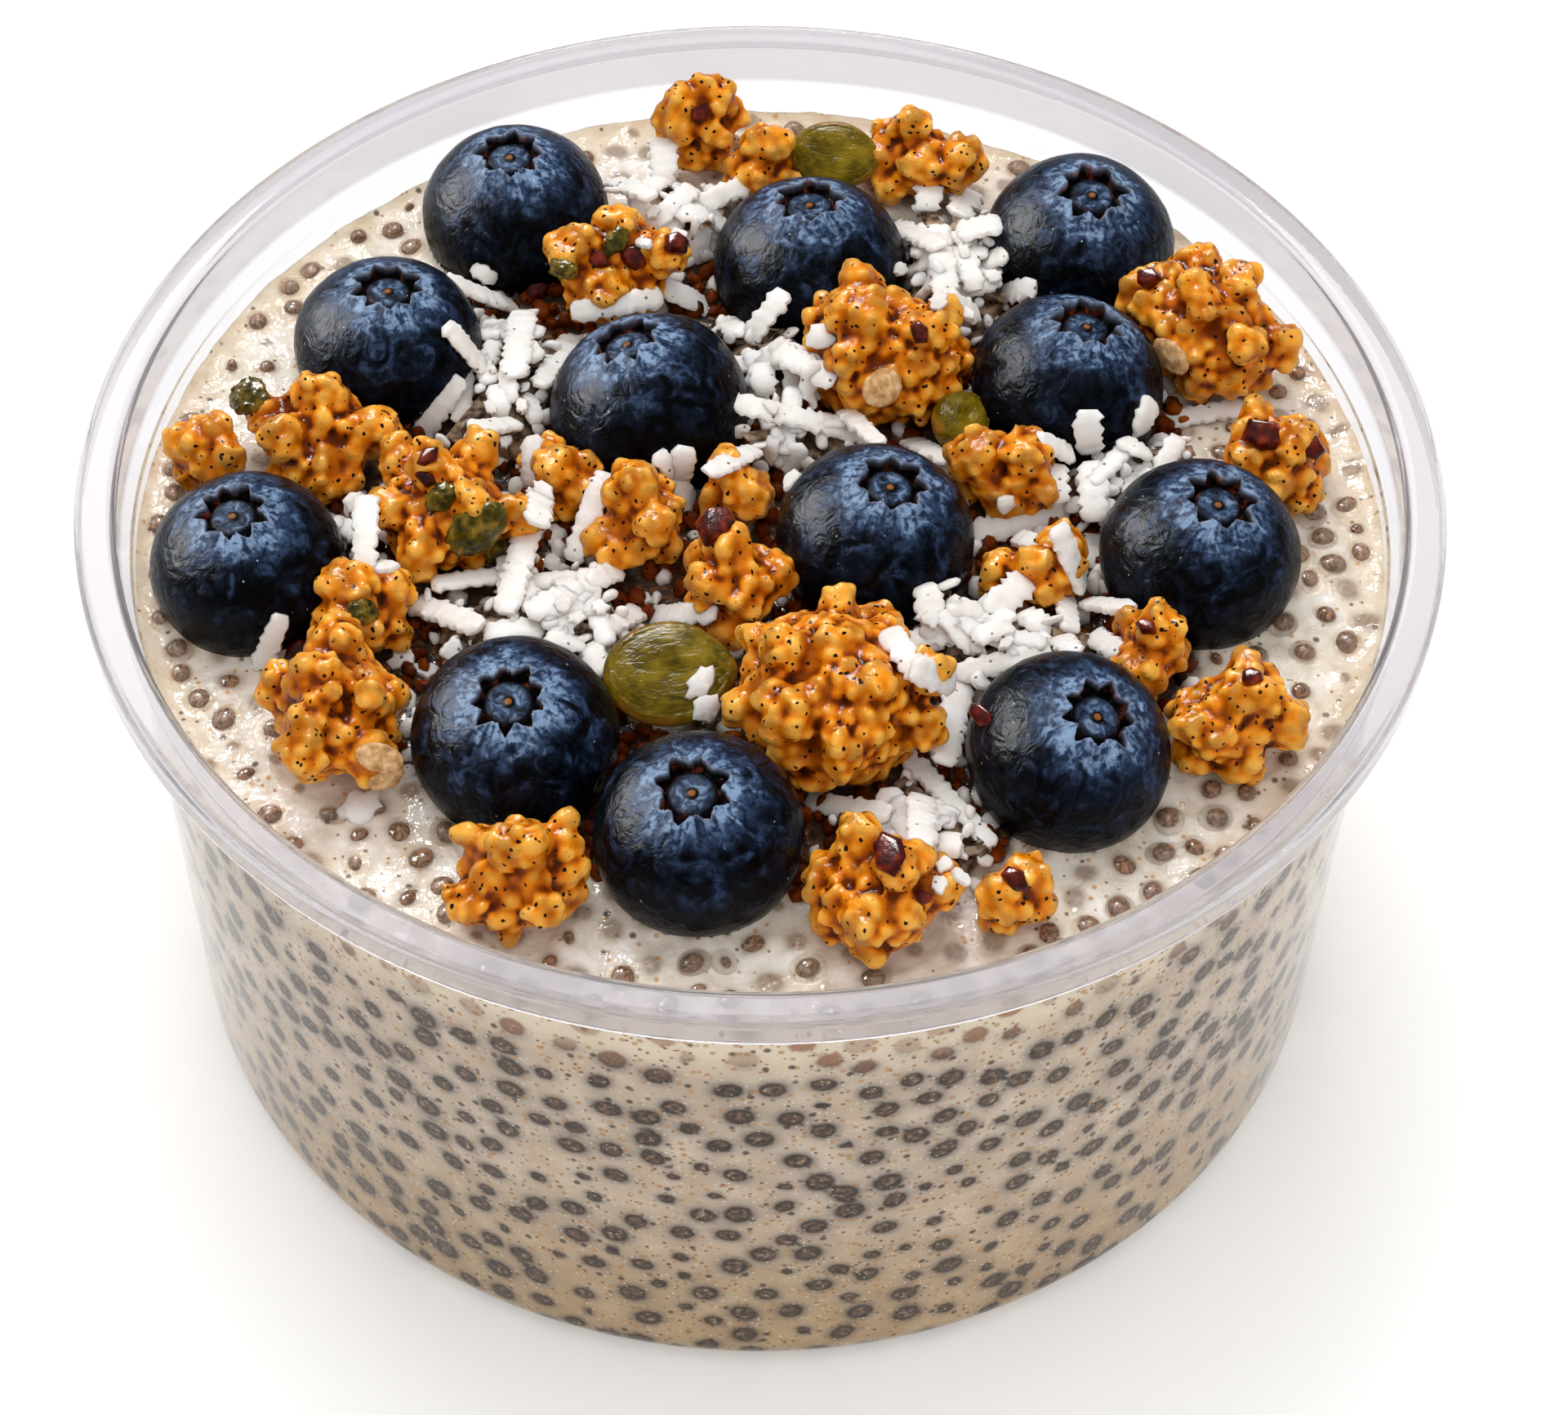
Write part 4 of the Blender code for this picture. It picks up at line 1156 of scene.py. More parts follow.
dish_blue = skin.ramp(skin.noise(0.9, 4, distortion=1.0), (0.36, tint(16, 23, 38)), (0.52, tint(54, 74, 104)),
                      (0.68, tint(118, 138, 166)))
dish_edge = skin.band(skin.math("ADD", from_axis, skin.times(fine, 0.06)), 0.16, 0.26)
dish_blue = skin.mix(dish_edge, dish_blue, tint(17, 22, 34))
colour = skin.mix(dish, colour, dish_blue)
inside = skin.ramp(skin.noise(1.1), (0.45, tint(7, 5, 6)), (0.58, tint(34, 16, 11)), (0.72, tint(132, 58, 30)))
colour = skin.mix(mark[0], colour, inside)
# The crown's edge: pale, partly its own colour and partly a painted highlight.
colour = skin.mix(skin.times(mark[1], 0.4), colour, tint(142, 150, 172))
# The dot where the flower was: a dark ring, and a brown middle
for inner, outer, dot in ((0.055, 0.085, (12, 13, 18)), (0.025, 0.042, (138, 84, 36))):
    share = skin.times(skin.band(from_axis, inner, outer, 1.0, 0.0), at_top)
    colour = skin.mix(share, colour, tint(*dot))
# Painted glints: tiny pale specks over the skin.
colour = skin.mix(skin.times(skin.specks(1.3, 0.04, 0.08, 0.72), 0.8), colour, tint(196, 204, 220))
skin.wire("Base Color", colour)
skin.wire("Roughness", skin.band(bloom, 0.0, 0.6, 0.26, 0.5))
creases = skin.bump(skin.noise(1.8, 4, distortion=1.8), 0.2)
skin.wire("Normal", skin.bump(skin.noise(0.45, 2), 0.025, creases))
print("nodes in the skin:", len(skin.tree.nodes))

# %% Place the blueberries
berry_total = 0
for number, row in enumerate(BERRIES):
    mesh = blueberry_mesh(f"berry_{number + 1:02d}", row, number)
    show(f"berry_{number + 1:02d}", mesh, skin.made, "blueberry_skin", f"blueberry_{number + 1:02d}")
    berry_total += triangles(mesh)
print("blueberry triangles:", berry_total)

# %% [markdown]
# ## Granola
#
# A granola cluster is puffed grain stuck together with caramel: hundreds of glossy nubs of 1 to 2.5 mm.
# Geometry Nodes spread balls over the packed solid of each cluster, no two closer than the spacing,
# and a Remesh modifier melts them into one skin, as the caramel does. That is done twice with one recipe:
# first with large balls, which give the lobes, and then with small ones on top of these, which give the nubs.

# %% A recipe for nubs
LEAST_STRETCH, MOST_STRETCH = (0.85, 0.85, 0.85), (1.3, 1.15, 1.15)
NUB_NOISE = 1.3


def nub_recipe(name, finish):
    """Balls of uneven size over a mesh, and the mesh itself drawn in under them."""
    recipe = Recipe(name, Spacing=1.3 * MM, Smallest=0.5 * MM, Largest=1.1 * MM, Inset=0.25 * MM, Core_inset=0.0,
                    Roughness=0.0, Seed=0)
    source = recipe.inputs["Geometry"]
    spread = recipe.spread(source)
    sunk = recipe.inward(spread["Points"], spread["Normal"], recipe.inputs["Inset"])
    size = recipe.add("FunctionNodeRandomValue", {
        2: recipe.inputs["Smallest"], 3: recipe.inputs["Largest"], 8: recipe.inputs["Seed"]}, data_type="FLOAT")
    scale = recipe.scaled(recipe.chance(LEAST_STRETCH, MOST_STRETCH, 3), size.outputs[1])
    spun = recipe.rotation(recipe.chance((0, 0, 0), (TURN, TURN, TURN), 7))
    ball = recipe.add("GeometryNodeMeshIcoSphere", {"Radius": 1.0, "Subdivisions": 2})
    copies = recipe.add("GeometryNodeInstanceOnPoints", {
        "Points": sunk, "Instance": ball.outputs[0], "Rotation": spun, "Scale": scale})
    normal = recipe.add("GeometryNodeInputNormal").outputs[0]
    core = recipe.inward(source, normal, recipe.inputs["Core inset"])
    lumpy = recipe.roughen(recipe.real(copies.outputs[0]), NUB_NOISE, recipe.inputs["Roughness"])
    return recipe.close(recipe.together(lumpy, core), finish)


print("inputs of a recipe for nubs: spacing, smallest, largest, inset, core inset, roughness, seed")

# %% [markdown]
# A finish can't see whether it is on a nub or between two, so each point is told beforehand.
# The mesh is smoothed away in a copy, by taking the mean of each point's neighbours again and again.
# What stands out of that smooth copy is a crest, and what lies under it is a hollow.

# %% Mark crests and hollows
def mesh_arrays(mesh):
    co = np.empty(len(mesh.vertices) * 3, np.float32)
    mesh.vertices.foreach_get("co", co)
    normals = np.empty(len(mesh.vertices) * 3, np.float32)
    mesh.vertex_normals.foreach_get("vector", normals)
    edges = np.empty(len(mesh.edges) * 2, np.int32)
    mesh.edges.foreach_get("vertices", edges)
    return co.reshape(-1, 3), normals.reshape(-1, 3), edges.reshape(-1, 2)


def mark_hollows(mesh, rounds, full):
    """Stores on each point how far it stands out of (+) or lies under (-) the mean of the points round it."""
    co, normals, edges = mesh_arrays(mesh)
    a, b = edges.T
    count = np.bincount(np.concatenate([a, b]), minlength=len(co))
    mean = co.astype(float)
    for _ in range(rounds):
        mean = np.stack([(np.bincount(a, mean[b, k], len(co)) + np.bincount(b, mean[a, k], len(co))) / count
                         for k in range(3)], 1)
    value = ((co - mean) * normals).sum(1) / (full * MM)
    store(mesh, "crest", value)
    return value


print("the crest mark is 1 on a nub's top and below 0 between nubs")

# %% [markdown]
# The caramel's colour is read from the crest mark: deep brown between the nubs is painted shade, and the pale gold on
# their tops is a painted highlight over the caramel's own gold. A soft cell pattern rounds the nubs further into
# grains, and painted shade darkens the furrows between these, and small ragged specks of seed are strewn all over.
# The cells are bent by noise, or they would look like tiles.

# %% Granola finish
caramel = Finish("granola", Roughness=0.16, IOR=1.42, Specular_IOR_Level=0.2)
crest = caramel.attribute("crest", "Fac")
uneven = caramel.either_way(caramel.noise(2.6, 3), 0.55)
cloud = caramel.add("ShaderNodeTexNoise", {"Vector": caramel.place, "Scale": 1 / (0.9 * MM), "Detail": 3.0})
bent = caramel.scaled(cloud.outputs["Color"], 0.5 * MM)
per_mm = caramel.scaled(caramel.add("ShaderNodeVectorMath", {0: caramel.place, 1: bent}).outputs[0], 1 / MM)
cells = caramel.add("ShaderNodeTexVoronoi", {"Vector": per_mm, "Scale": 0.5, "Smoothness": 0.3}, feature="SMOOTH_F1")
from_grain = cells.outputs["Distance"]
furrow_shade = caramel.band(from_grain, 0.36, 0.8)
# Painted shade and light: the colour runs from dark in the hollows to pale gold on the crests.
shade = caramel.math("ADD", caramel.band(crest, -1.2, 1.3, 0.18, 0.88), uneven)
golden = caramel.ramp(shade, (0.1, tint(44, 14, 1)), (0.26, tint(122, 50, 1)), (0.42, tint(208, 108, 8)),
                      (0.62, tint(240, 146, 26)), (0.9, tint(249, 184, 78)))
toasted = caramel.band(caramel.noise(6, 2), 0.52, 0.74, 0.0, 0.5)
golden = caramel.mix(toasted, golden, caramel.ramp(shade, (0.1, tint(40, 11, 1)), (0.5, tint(184, 80, 4)),
                                                   (0.9, tint(242, 152, 46))))
# Painted shade: near black in the deepest hollows, and dark brown in the furrows between grains.
deep = caramel.band(crest, -1.6, -0.4, 0.85, 0.0)
golden = caramel.mix(deep, golden, tint(30, 9, 1))
golden = caramel.mix(caramel.times(furrow_shade, 0.5), golden, tint(122, 48, 1))
ragged = caramel.either_way(caramel.noise(0.3, 2), 0.5)
golden = caramel.mix(caramel.specks(0.85, 0.16, 0.24, 0.15, per_mm, ragged), golden, tint(30, 16, 9))
caramel.wire("Base Color", golden)
creases = caramel.bump(caramel.noise(1.2, 4, distortion=1.2), 0.14)
creases = caramel.bump(caramel.math("SUBTRACT", 1.0, from_grain), 0.55, creases)
caramel.wire("Normal", caramel.bump(caramel.noise(0.4, 3), 0.05, creases))
print("nodes in the caramel:", len(caramel.tree.nodes))

# %% Build the clusters
NUB_RECIPE = nub_recipe("nubs", caramel.made)
LOBE_MELT, NUB_MELT = 0.5 * MM, 0.27 * MM
SMOOTHING_ROUNDS, FULL_CREST = 10, 0.18
LOBES = {"Spacing": 2.5 * MM, "Smallest": 1.15 * MM, "Largest": 1.9 * MM, "Inset": 1.35 * MM, "Core_inset": 1.0 * MM,
         "Roughness": 1.2 * MM}
NUBS = {"Spacing": 1.2 * MM, "Smallest": 0.42 * MM, "Largest": 1.05 * MM, "Inset": 0.36 * MM, "Core_inset": 0.0,
        "Roughness": 0.9 * MM}
cluster_meshes = {}
cluster_total = 0


def merged_solid(node):
    """A copy of a packed solid's mesh with its loose corners merged."""
    bm = bmesh.new()
    bm.from_mesh(frame["nodes"][node].data)
    bmesh.ops.remove_doubles(bm, verts=bm.verts, dist=MERGE_DISTANCE)
    mesh = from_bmesh(node + "_copy", bm)
    mesh.materials.clear()
    return mesh


for number, node in enumerate(CLUSTERS):
    mesh = worked(
        merged_solid(node),
        ("NODES", {"recipe": NUB_RECIPE, "inputs": {**LOBES, "Seed": number}}),
        ("REMESH", {"mode": "VOXEL", "voxel_size": LOBE_MELT}),
        ("NODES", {"recipe": NUB_RECIPE, "inputs": {**NUBS, "Seed": number}}),
        ("REMESH", {"mode": "VOXEL", "voxel_size": NUB_MELT}), ("SMOOTH", {"factor": 0.5, "iterations": 1}))
    mesh.name = f"cluster_{number + 1:02d}"
    values = mark_hollows(mesh, SMOOTHING_ROUNDS, FULL_CREST)
    cluster_meshes[node] = mesh
    show(f"cluster_{number + 1:02d}", mesh, caramel.made, "granola", node)
    cluster_total += triangles(mesh)
    if number == 4:
        print("crest marks:", np.percentile(values, (5, 25, 50, 75, 95)).round(2))
print("granola triangles:", cluster_total)

# %% [markdown]
# ## What carries the small pieces
#
# Chips, flakes and loose shreds lie on the toppings. Their places were read from the picture,
# so each is found by a ray from the camera through a point at mid height, to whatever it meets first.
# That puts it on its carrier, also when it is seen from any other side.

# %% Rays onto the toppings
SIGHT_HEIGHT = 55.0


def search_tree(meshes):
    """One search tree over several meshes."""
    corners, faces = [], []
    for mesh in meshes:
        start = len(corners)
        corners += [v.co.copy() for v in mesh.vertices]
        faces += [[start + i for i in p.vertices] for p in mesh.polygons]
    return BVHTree.FromPolygons(corners, faces)


berry_meshes = [o.data for o in bpy.data.objects if o.name.startswith("berry_")]
carriers = search_tree([*cluster_meshes.values(), pudding, *berry_meshes])


def seen_at(x, y, tree):
    """Where the line of sight through a point at mid height meets a tree: its place and the surface's direction."""
    aim = Vector((x, y, SIGHT_HEIGHT)) * MM
    place, normal, _, _ = tree.ray_cast(CAMERA_PLACE, (aim - CAMERA_PLACE).normalized())
    return place, normal


print("first point met at the middle:", [round(c / MM, 1) for c in seen_at(0, 0, carriers)[0]])

# %% [markdown]
# ## Coconut
#
# The coconut is cut in ragged shreds, about 2 mm wide and under 1 mm thick, with crumbs of the same between them.
# A shred is a closed strip with eight points round it at each station, and edges that wander in and out.
# Its ends lie at the height of the packed solid, found by rays from above. The crumbs are spread by a recipe of their
# own.

# %% Coconut finish
coconut = Finish("coconut", Roughness=0.33, IOR=1.42, Subsurface_Weight=0.55, Subsurface_Scale=0.0014,
                 Subsurface_Radius=(1.0, 0.9, 0.75))
cloudy = coconut.noise(2.2, 3)
colour = coconut.ramp(cloudy, (0.3, tint(236, 228, 220)), (0.5, tint(248, 241, 234)), (0.7, tint(254, 250, 245)))
# Painted shade: the drawn-in core under the crumbs is dark brown, partly the brown of granola dust.
colour = coconut.mix(coconut.attribute("core", "Fac"), colour, coconut.ramp(
    coconut.noise(1.2), (0.4, tint(58, 36, 20)), (0.65, tint(176, 150, 122))))
speck = coconut.times(coconut.specks(1.3, 0.08, 0.16, 0.5), SPECK_STRENGTH)
colour = coconut.mix(speck, colour, tint(58, 44, 36))
coconut.wire("Base Color", colour)
coconut.wire("Normal", coconut.bump(coconut.noise(0.7, 3), 0.1))
print("nodes in the coconut:", len(coconut.tree.nodes))

# %% One shred
SHRED_STATION = 0.34
FEWEST_STATIONS = 5
# How wide a shred is at its end and at the next two stations
SHRED_TAPER = (0.62, 0.88, 0.98)
RAGGED_EDGE = 0.09
WAVE, WAVE_STEP = 0.1, 1.9
# The points round a shred, in shares of its half width and half thickness
SHRED_ROUND = ((1, 0), (0.84, 0.85), (0.3, 1), (-0.35, 0.92), (-0.84, 0.85), (-1, 0), (-0.8, -0.85), (0.8, -0.85))
THIN_END, THICKNESS_RANGE = 0.6, (0.85, 1.15)
SHRED_TILT = 0.3


def add_shred(bm, line, width, thickness, draw, lies_on=Vector((0, 0, 1))):
    """Adds a ragged strip along a line of points, flat on a surface that faces a given way, in millimetres."""
    length = sum((b - a).length for a, b in zip(line, line[1:]))
    count = max(FEWEST_STATIONS, round(length / SHRED_STATION))
    marks = np.concatenate([[0], np.cumsum([(b - a).length for a, b in zip(line, line[1:])])])
    spots = np.linspace(0, length, count + 1)
    path = [Vector([np.interp(s, marks, [p[k] for p in line]) for k in range(3)]) for s in spots]
    tilt = draw.uniform(-SHRED_TILT, SHRED_TILT)
    ragged = [[draw.gauss(0, RAGGED_EDGE) for _ in path] for _ in range(2)]
    rings = []
    for i, middle in enumerate(path):
        ahead = (path[min(i + 1, count)] - path[max(i - 1, 0)]).normalized()
        side = ahead.cross(lies_on).normalized()
        side = (side * math.cos(tilt) + side.cross(ahead) * math.sin(tilt)).normalized()
        up = side.cross(ahead).normalized()
        end = min(i, count - i)
        taper = SHRED_TAPER[end] if end < len(SHRED_TAPER) else 1.0
        half = width / 2 * taper
        wave = WAVE * math.sin(i * WAVE_STEP + tilt * 9)
        left, right = half * (1 + ragged[0][i] + wave), half * (1 + ragged[1][i] - wave)
        thick = thickness / 2 * (THIN_END if end == 0 else 1.0) * draw.uniform(*THICKNESS_RANGE)
        rings.append([bm.verts.new((middle + side * (a * (right if a > 0 else left)) + up * (b * thick)) * MM)
                      for a, b in SHRED_ROUND])
    wrap(bm, rings)
    bm.faces.new(rings[0])
    bm.faces.new(tuple(reversed(rings[-1])))


print("stations on a 10 mm shred:", round(10 / SHRED_STATION))

# %% One flake
FLAKE_SIDES, FLAKE_RADII, FLAKE_STRETCH = 16, (0.72, 1.14), (0.6, 0.9)
# Width and height of a flake's three layers of corners, and the height of the tips under and over them
FLAKE_LAYERS = ((0.88, -0.5), (1.0, 0.0), (0.85, 0.5))
FLAKE_TIPS = (-0.5, 0.62)


def add_flake(bm, middle, normal, size, draw, thickness=0.6):
    """Adds a flat ragged flake, in millimetres."""
    turn = normal.to_track_quat("Z", "Y").to_matrix() @ Matrix.Rotation(draw.uniform(0, TURN), 3, "Z")
    stretch = draw.uniform(*FLAKE_STRETCH)
    radii = [size / 2 * draw.uniform(*FLAKE_RADII) for _ in range(FLAKE_SIDES)]
    layers = []
    for share, height in FLAKE_LAYERS:
        layer = []
        for k, radius in enumerate(radii):
            a = TURN * k / FLAKE_SIDES
            local = Vector((radius * share * math.cos(a), radius * share * math.sin(a) * stretch, height * thickness))
            layer.append(bm.verts.new((middle + turn @ local) * MM))
        layers.append(layer)
    wrap(bm, layers)
    for layer, height in zip((layers[0], layers[-1]), FLAKE_TIPS):
        tip = bm.verts.new((middle + turn @ Vector((0, 0, height * thickness))) * MM)
        for k in range(FLAKE_SIDES):
            pair = (layer[k], layer[(k + 1) % FLAKE_SIDES])
            bm.faces.new((tip, *pair) if height > 0 else (tip, *reversed(pair)))


print("corners round a flake:", FLAKE_SIDES)

# %% A recipe for crumbs
# Half sizes of the crumbs in metres, and how far they may tilt
LEAST_CRUMB, MOST_CRUMB = (0.5 * MM, 0.4 * MM, 0.25 * MM), (1.2 * MM, 0.8 * MM, 0.4 * MM)
CRUMB_TILT = 0.6
CRUMB_NOISE, CRUMB_ROUGHNESS = 0.7, 0.5 * MM


def crumb_recipe(name, finish):
    """Flat crumbs over a mesh, and the mesh itself drawn in under them."""
    recipe = Recipe(name, Spacing=1.0 * MM, Seed=0, Inset=0.3 * MM)
    source = recipe.inputs["Geometry"]
    spread = recipe.spread(source)
    size = recipe.chance(LEAST_CRUMB, MOST_CRUMB, 3)
    spun = recipe.rotation(recipe.chance((-CRUMB_TILT, -CRUMB_TILT, 0), (CRUMB_TILT, CRUMB_TILT, TURN), 7))
    both_turns = recipe.add("FunctionNodeRotateRotation", {0: spread["Rotation"], 1: spun}, rotation_space="LOCAL")
    ball = recipe.add("GeometryNodeMeshIcoSphere", {"Radius": 1.0, "Subdivisions": 2})
    copies = recipe.add("GeometryNodeInstanceOnPoints", {
        "Points": spread["Points"], "Instance": ball.outputs[0], "Rotation": both_turns.outputs[0], "Scale": size})
    rough = recipe.roughen(recipe.real(copies.outputs[0]), CRUMB_NOISE, CRUMB_ROUGHNESS)
    normal = recipe.add("GeometryNodeInputNormal").outputs[0]
    core = recipe.inward(source, normal, recipe.inputs["Inset"])
    # The core is marked so that the coconut finish paints it dark: painted shade, partly granola dust.
    core = recipe.add("GeometryNodeStoreNamedAttribute", {"Geometry": core, "Name": "core", "Value": 1.0}).outputs[0]
    return recipe.close(recipe.together(rough, core), finish)


CRUMB_RECIPE = crumb_recipe("crumbs", coconut.made)
print("nodes in the crumbs' recipe:", len(CRUMB_RECIPE.tree.nodes))

# %% Lay a shred on a solid
def height_on(tree, x, y, fallback):
    """The height of a solid's top at a place, in millimetres."""
    place, _, _, _ = tree.ray_cast(Vector((x * MM, y * MM, 0.1)), Vector((0, 0, -1)))
    return place.z / MM if place else fallback


# Shares of a shred's length, from its middle: where rays feel the height, and where its line gets points
FELT_AT, DRAWN_AT = (-0.42, -0.2, 0, 0.2, 0.42), (-0.5, -0.25, 0, 0.25, 0.5)
SHRED_LIFT, SHRED_ARCH = 0.6, 0.9


def shred_line(tree, x, y, length, heading, low):
    """A slightly bent line over a solid's top, from its height at the middle and both ends."""
    a = math.radians(heading)
    way = Vector((math.cos(a), math.sin(a), 0))
    heights = [height_on(tree, x + way.x * s * length, y + way.y * s * length, low) for s in FELT_AT]
    slope, middle = np.polyfit(FELT_AT, heights, 1)
    return [Vector((x, y, middle + slope * s + SHRED_LIFT - SHRED_ARCH * s * s)) + way * s * length
            for s in DRAWN_AT]


print("a shred's line feels its solid at", len(FELT_AT), "places")

# %% Coconut heaps
CRUMBS = {"Spacing": 1.9 * MM, "Inset": 0.6 * MM}
SHRED_AREA = 22.0
SHRED_LENGTHS, SHRED_WIDTHS, SHRED_THICKNESSES = (4, 7), (1.7, 2.4), (0.6, 0.8)
# Shares of a heap's half size: how far out a shred's middle may lie, and how long it may be
MIDDLES_WITHIN, LONGEST_SHARE = 0.7, 1.3
LOWEST_SHRED = 54.0
heap_total = 0
heap_meshes = []
for number, node in enumerate(HEAPS):
    draw = random.Random(300 + number)
    cx, cy, half_x, half_y = footprint(node)
    solid = merged_solid(node)
    tree = search_tree([solid])
    crumbs = worked(solid, ("NODES", {"recipe": CRUMB_RECIPE, "inputs": {**CRUMBS, "Seed": number}}))
    bm = bmesh.new()
    bm.from_mesh(crumbs)
    for _ in range(round(math.pi * half_x * half_y / SHRED_AREA)):
        share, way = MIDDLES_WITHIN * math.sqrt(draw.random()), draw.uniform(0, TURN)
        middle = cx + share * half_x * math.cos(way), cy + share * half_y * math.sin(way)
        longest = min(SHRED_LENGTHS[1], LONGEST_SHARE * max(half_x, half_y))
        length = draw.uniform(SHRED_LENGTHS[0], longest)
        line = shred_line(tree, *middle, length, draw.uniform(0, 180), LOWEST_SHRED)
        add_shred(bm, line, draw.uniform(*SHRED_WIDTHS), draw.uniform(*SHRED_THICKNESSES), draw)
    mesh = from_bmesh(f"shreds_{number + 1:02d}", bm)
    show(mesh.name, mesh, coconut.made, "coconut", node, sharp=58)
    heap_meshes.append(mesh)
    heap_total += triangles(mesh)
print("coconut triangles:", heap_total)

# %% [markdown]
# ## Pumpkin seeds
#
# Hulled pumpkin seeds are flat olive green drops with fine ridges and a brown edge.
# Each is a squashed ball, drawn out to a point at one end, with a bead round its edge.

# %% Pumpkin seeds
green = Finish("pumpkin_seed", Roughness=0.22, IOR=1.42, Specular_IOR_Level=0.2)
seed_place = green.attribute("seed_place")
sx, sy, sz = green.parts(seed_place)
ridges = green.noise(0.12, 3, where=green.combined(green.times(sx, 0.35), sy, sz), distortion=0.8)
out = green.length(green.combined(sx, sy))
leaf = green.ramp(ridges, (0.2, tint(52, 42, 1)), (0.5, tint(92, 76, 2)), (0.8, tint(130, 110, 12)))
leaf = green.mix(green.band(green.noise(2.2, 3), 0.42, 0.72, 0, 0.6), leaf, tint(150, 126, 24))
edge_share = green.times(green.band(out, 0.82, 1.0, 0.0, 0.85), green.band(green.noise(2.4), 0.4, 0.6))
leaf = green.mix(edge_share, leaf, tint(164, 108, 34))
green.wire("Base Color", leaf)
green.wire("Normal", green.bump(ridges, 0.1))

# x, y, height of the middle, half length, half width, half thickness, lean in degrees, turn in degrees
PUMPKIN_SEEDS = (
    (6.6, 43.2, 4.6, 4.2, 3.2, 1.5, 40, -8), (-7.4, -20.2, 4.4, 5.4, 4.6, 1.7, 22, 6),
    (17.4, 9.8, 4.0, 2.9, 2.6, 2.1, 30, 60),
)


# Shares of a pumpkin seed's half sizes: how far one end is drawn to a point, how much its faces sink
# towards the middle, how thin they are inside the bead round the edge, and where that bead starts
POINTED, SUNKEN, INSIDE_BEAD, BEAD_FROM = 0.28, 0.35, 0.82, 0.86
PUMPKIN_STRETCH, PUMPKIN_LUMPS, PUMPKIN_LIFT = 1.04, 0.12, 0.3


def pumpkin_mesh(name, row, number):
    """One pumpkin seed, whose points keep their place in a ball of radius 1 for the finish."""
    x, y, rise, half_long, half_wide, half_thick, tip, turn = row
    turned_by = Euler((math.radians(tip), 0, math.radians(turn))).to_matrix()
    middle = Vector((x, y, LEVEL + PUMPKIN_LIFT + rise))
    bm = bmesh.new()
    bmesh.ops.create_icosphere(bm, subdivisions=5, radius=1)
    layer = bm.verts.layers.float_vector.new("seed_place")
    for vert in bm.verts:
        local = vert.co.copy()
        vert[layer] = local
        point = 1 - POINTED * max(0.0, local.x) ** 2
        rim = math.hypot(local.x, local.y)
        flat = (1 - SUNKEN * (1 - rim) ** 2) * (INSIDE_BEAD if rim < BEAD_FROM else 1.0)
        long = local.x * half_long * PUMPKIN_STRETCH
        shape = Vector((long, local.y * half_wide * point, local.z * half_thick * flat))
        shape += Vector((0, 0, PUMPKIN_LUMPS * noise.noise(local * 2 + Vector((number, 0, 0)))))
        vert.co = (middle + turned_by @ shape) * MM
    return from_bmesh(name, bm)


pumpkin_meshes = []
for number, row in enumerate(PUMPKIN_SEEDS):
    mesh = pumpkin_mesh(f"pepita_{number + 1}", row, number)
    show(mesh.name, mesh, green.made, "pumpkin_seed", f"pumpkin_seed_{number + 1}")
    pumpkin_meshes.append(mesh)
print("pumpkin seed triangles:", sum(triangles(m) for m in pumpkin_meshes))

# %% [markdown]
# ## Loose coconut
#
# The shreds that lie uppermost, on the heaps and on the granola and berries beside them, have their own places.
# Each is given by its two ends at mid height and its width. Rays find what lies under it at five places,
# a straight line is fitted to those heights, and each shred is laid over the ones before it.

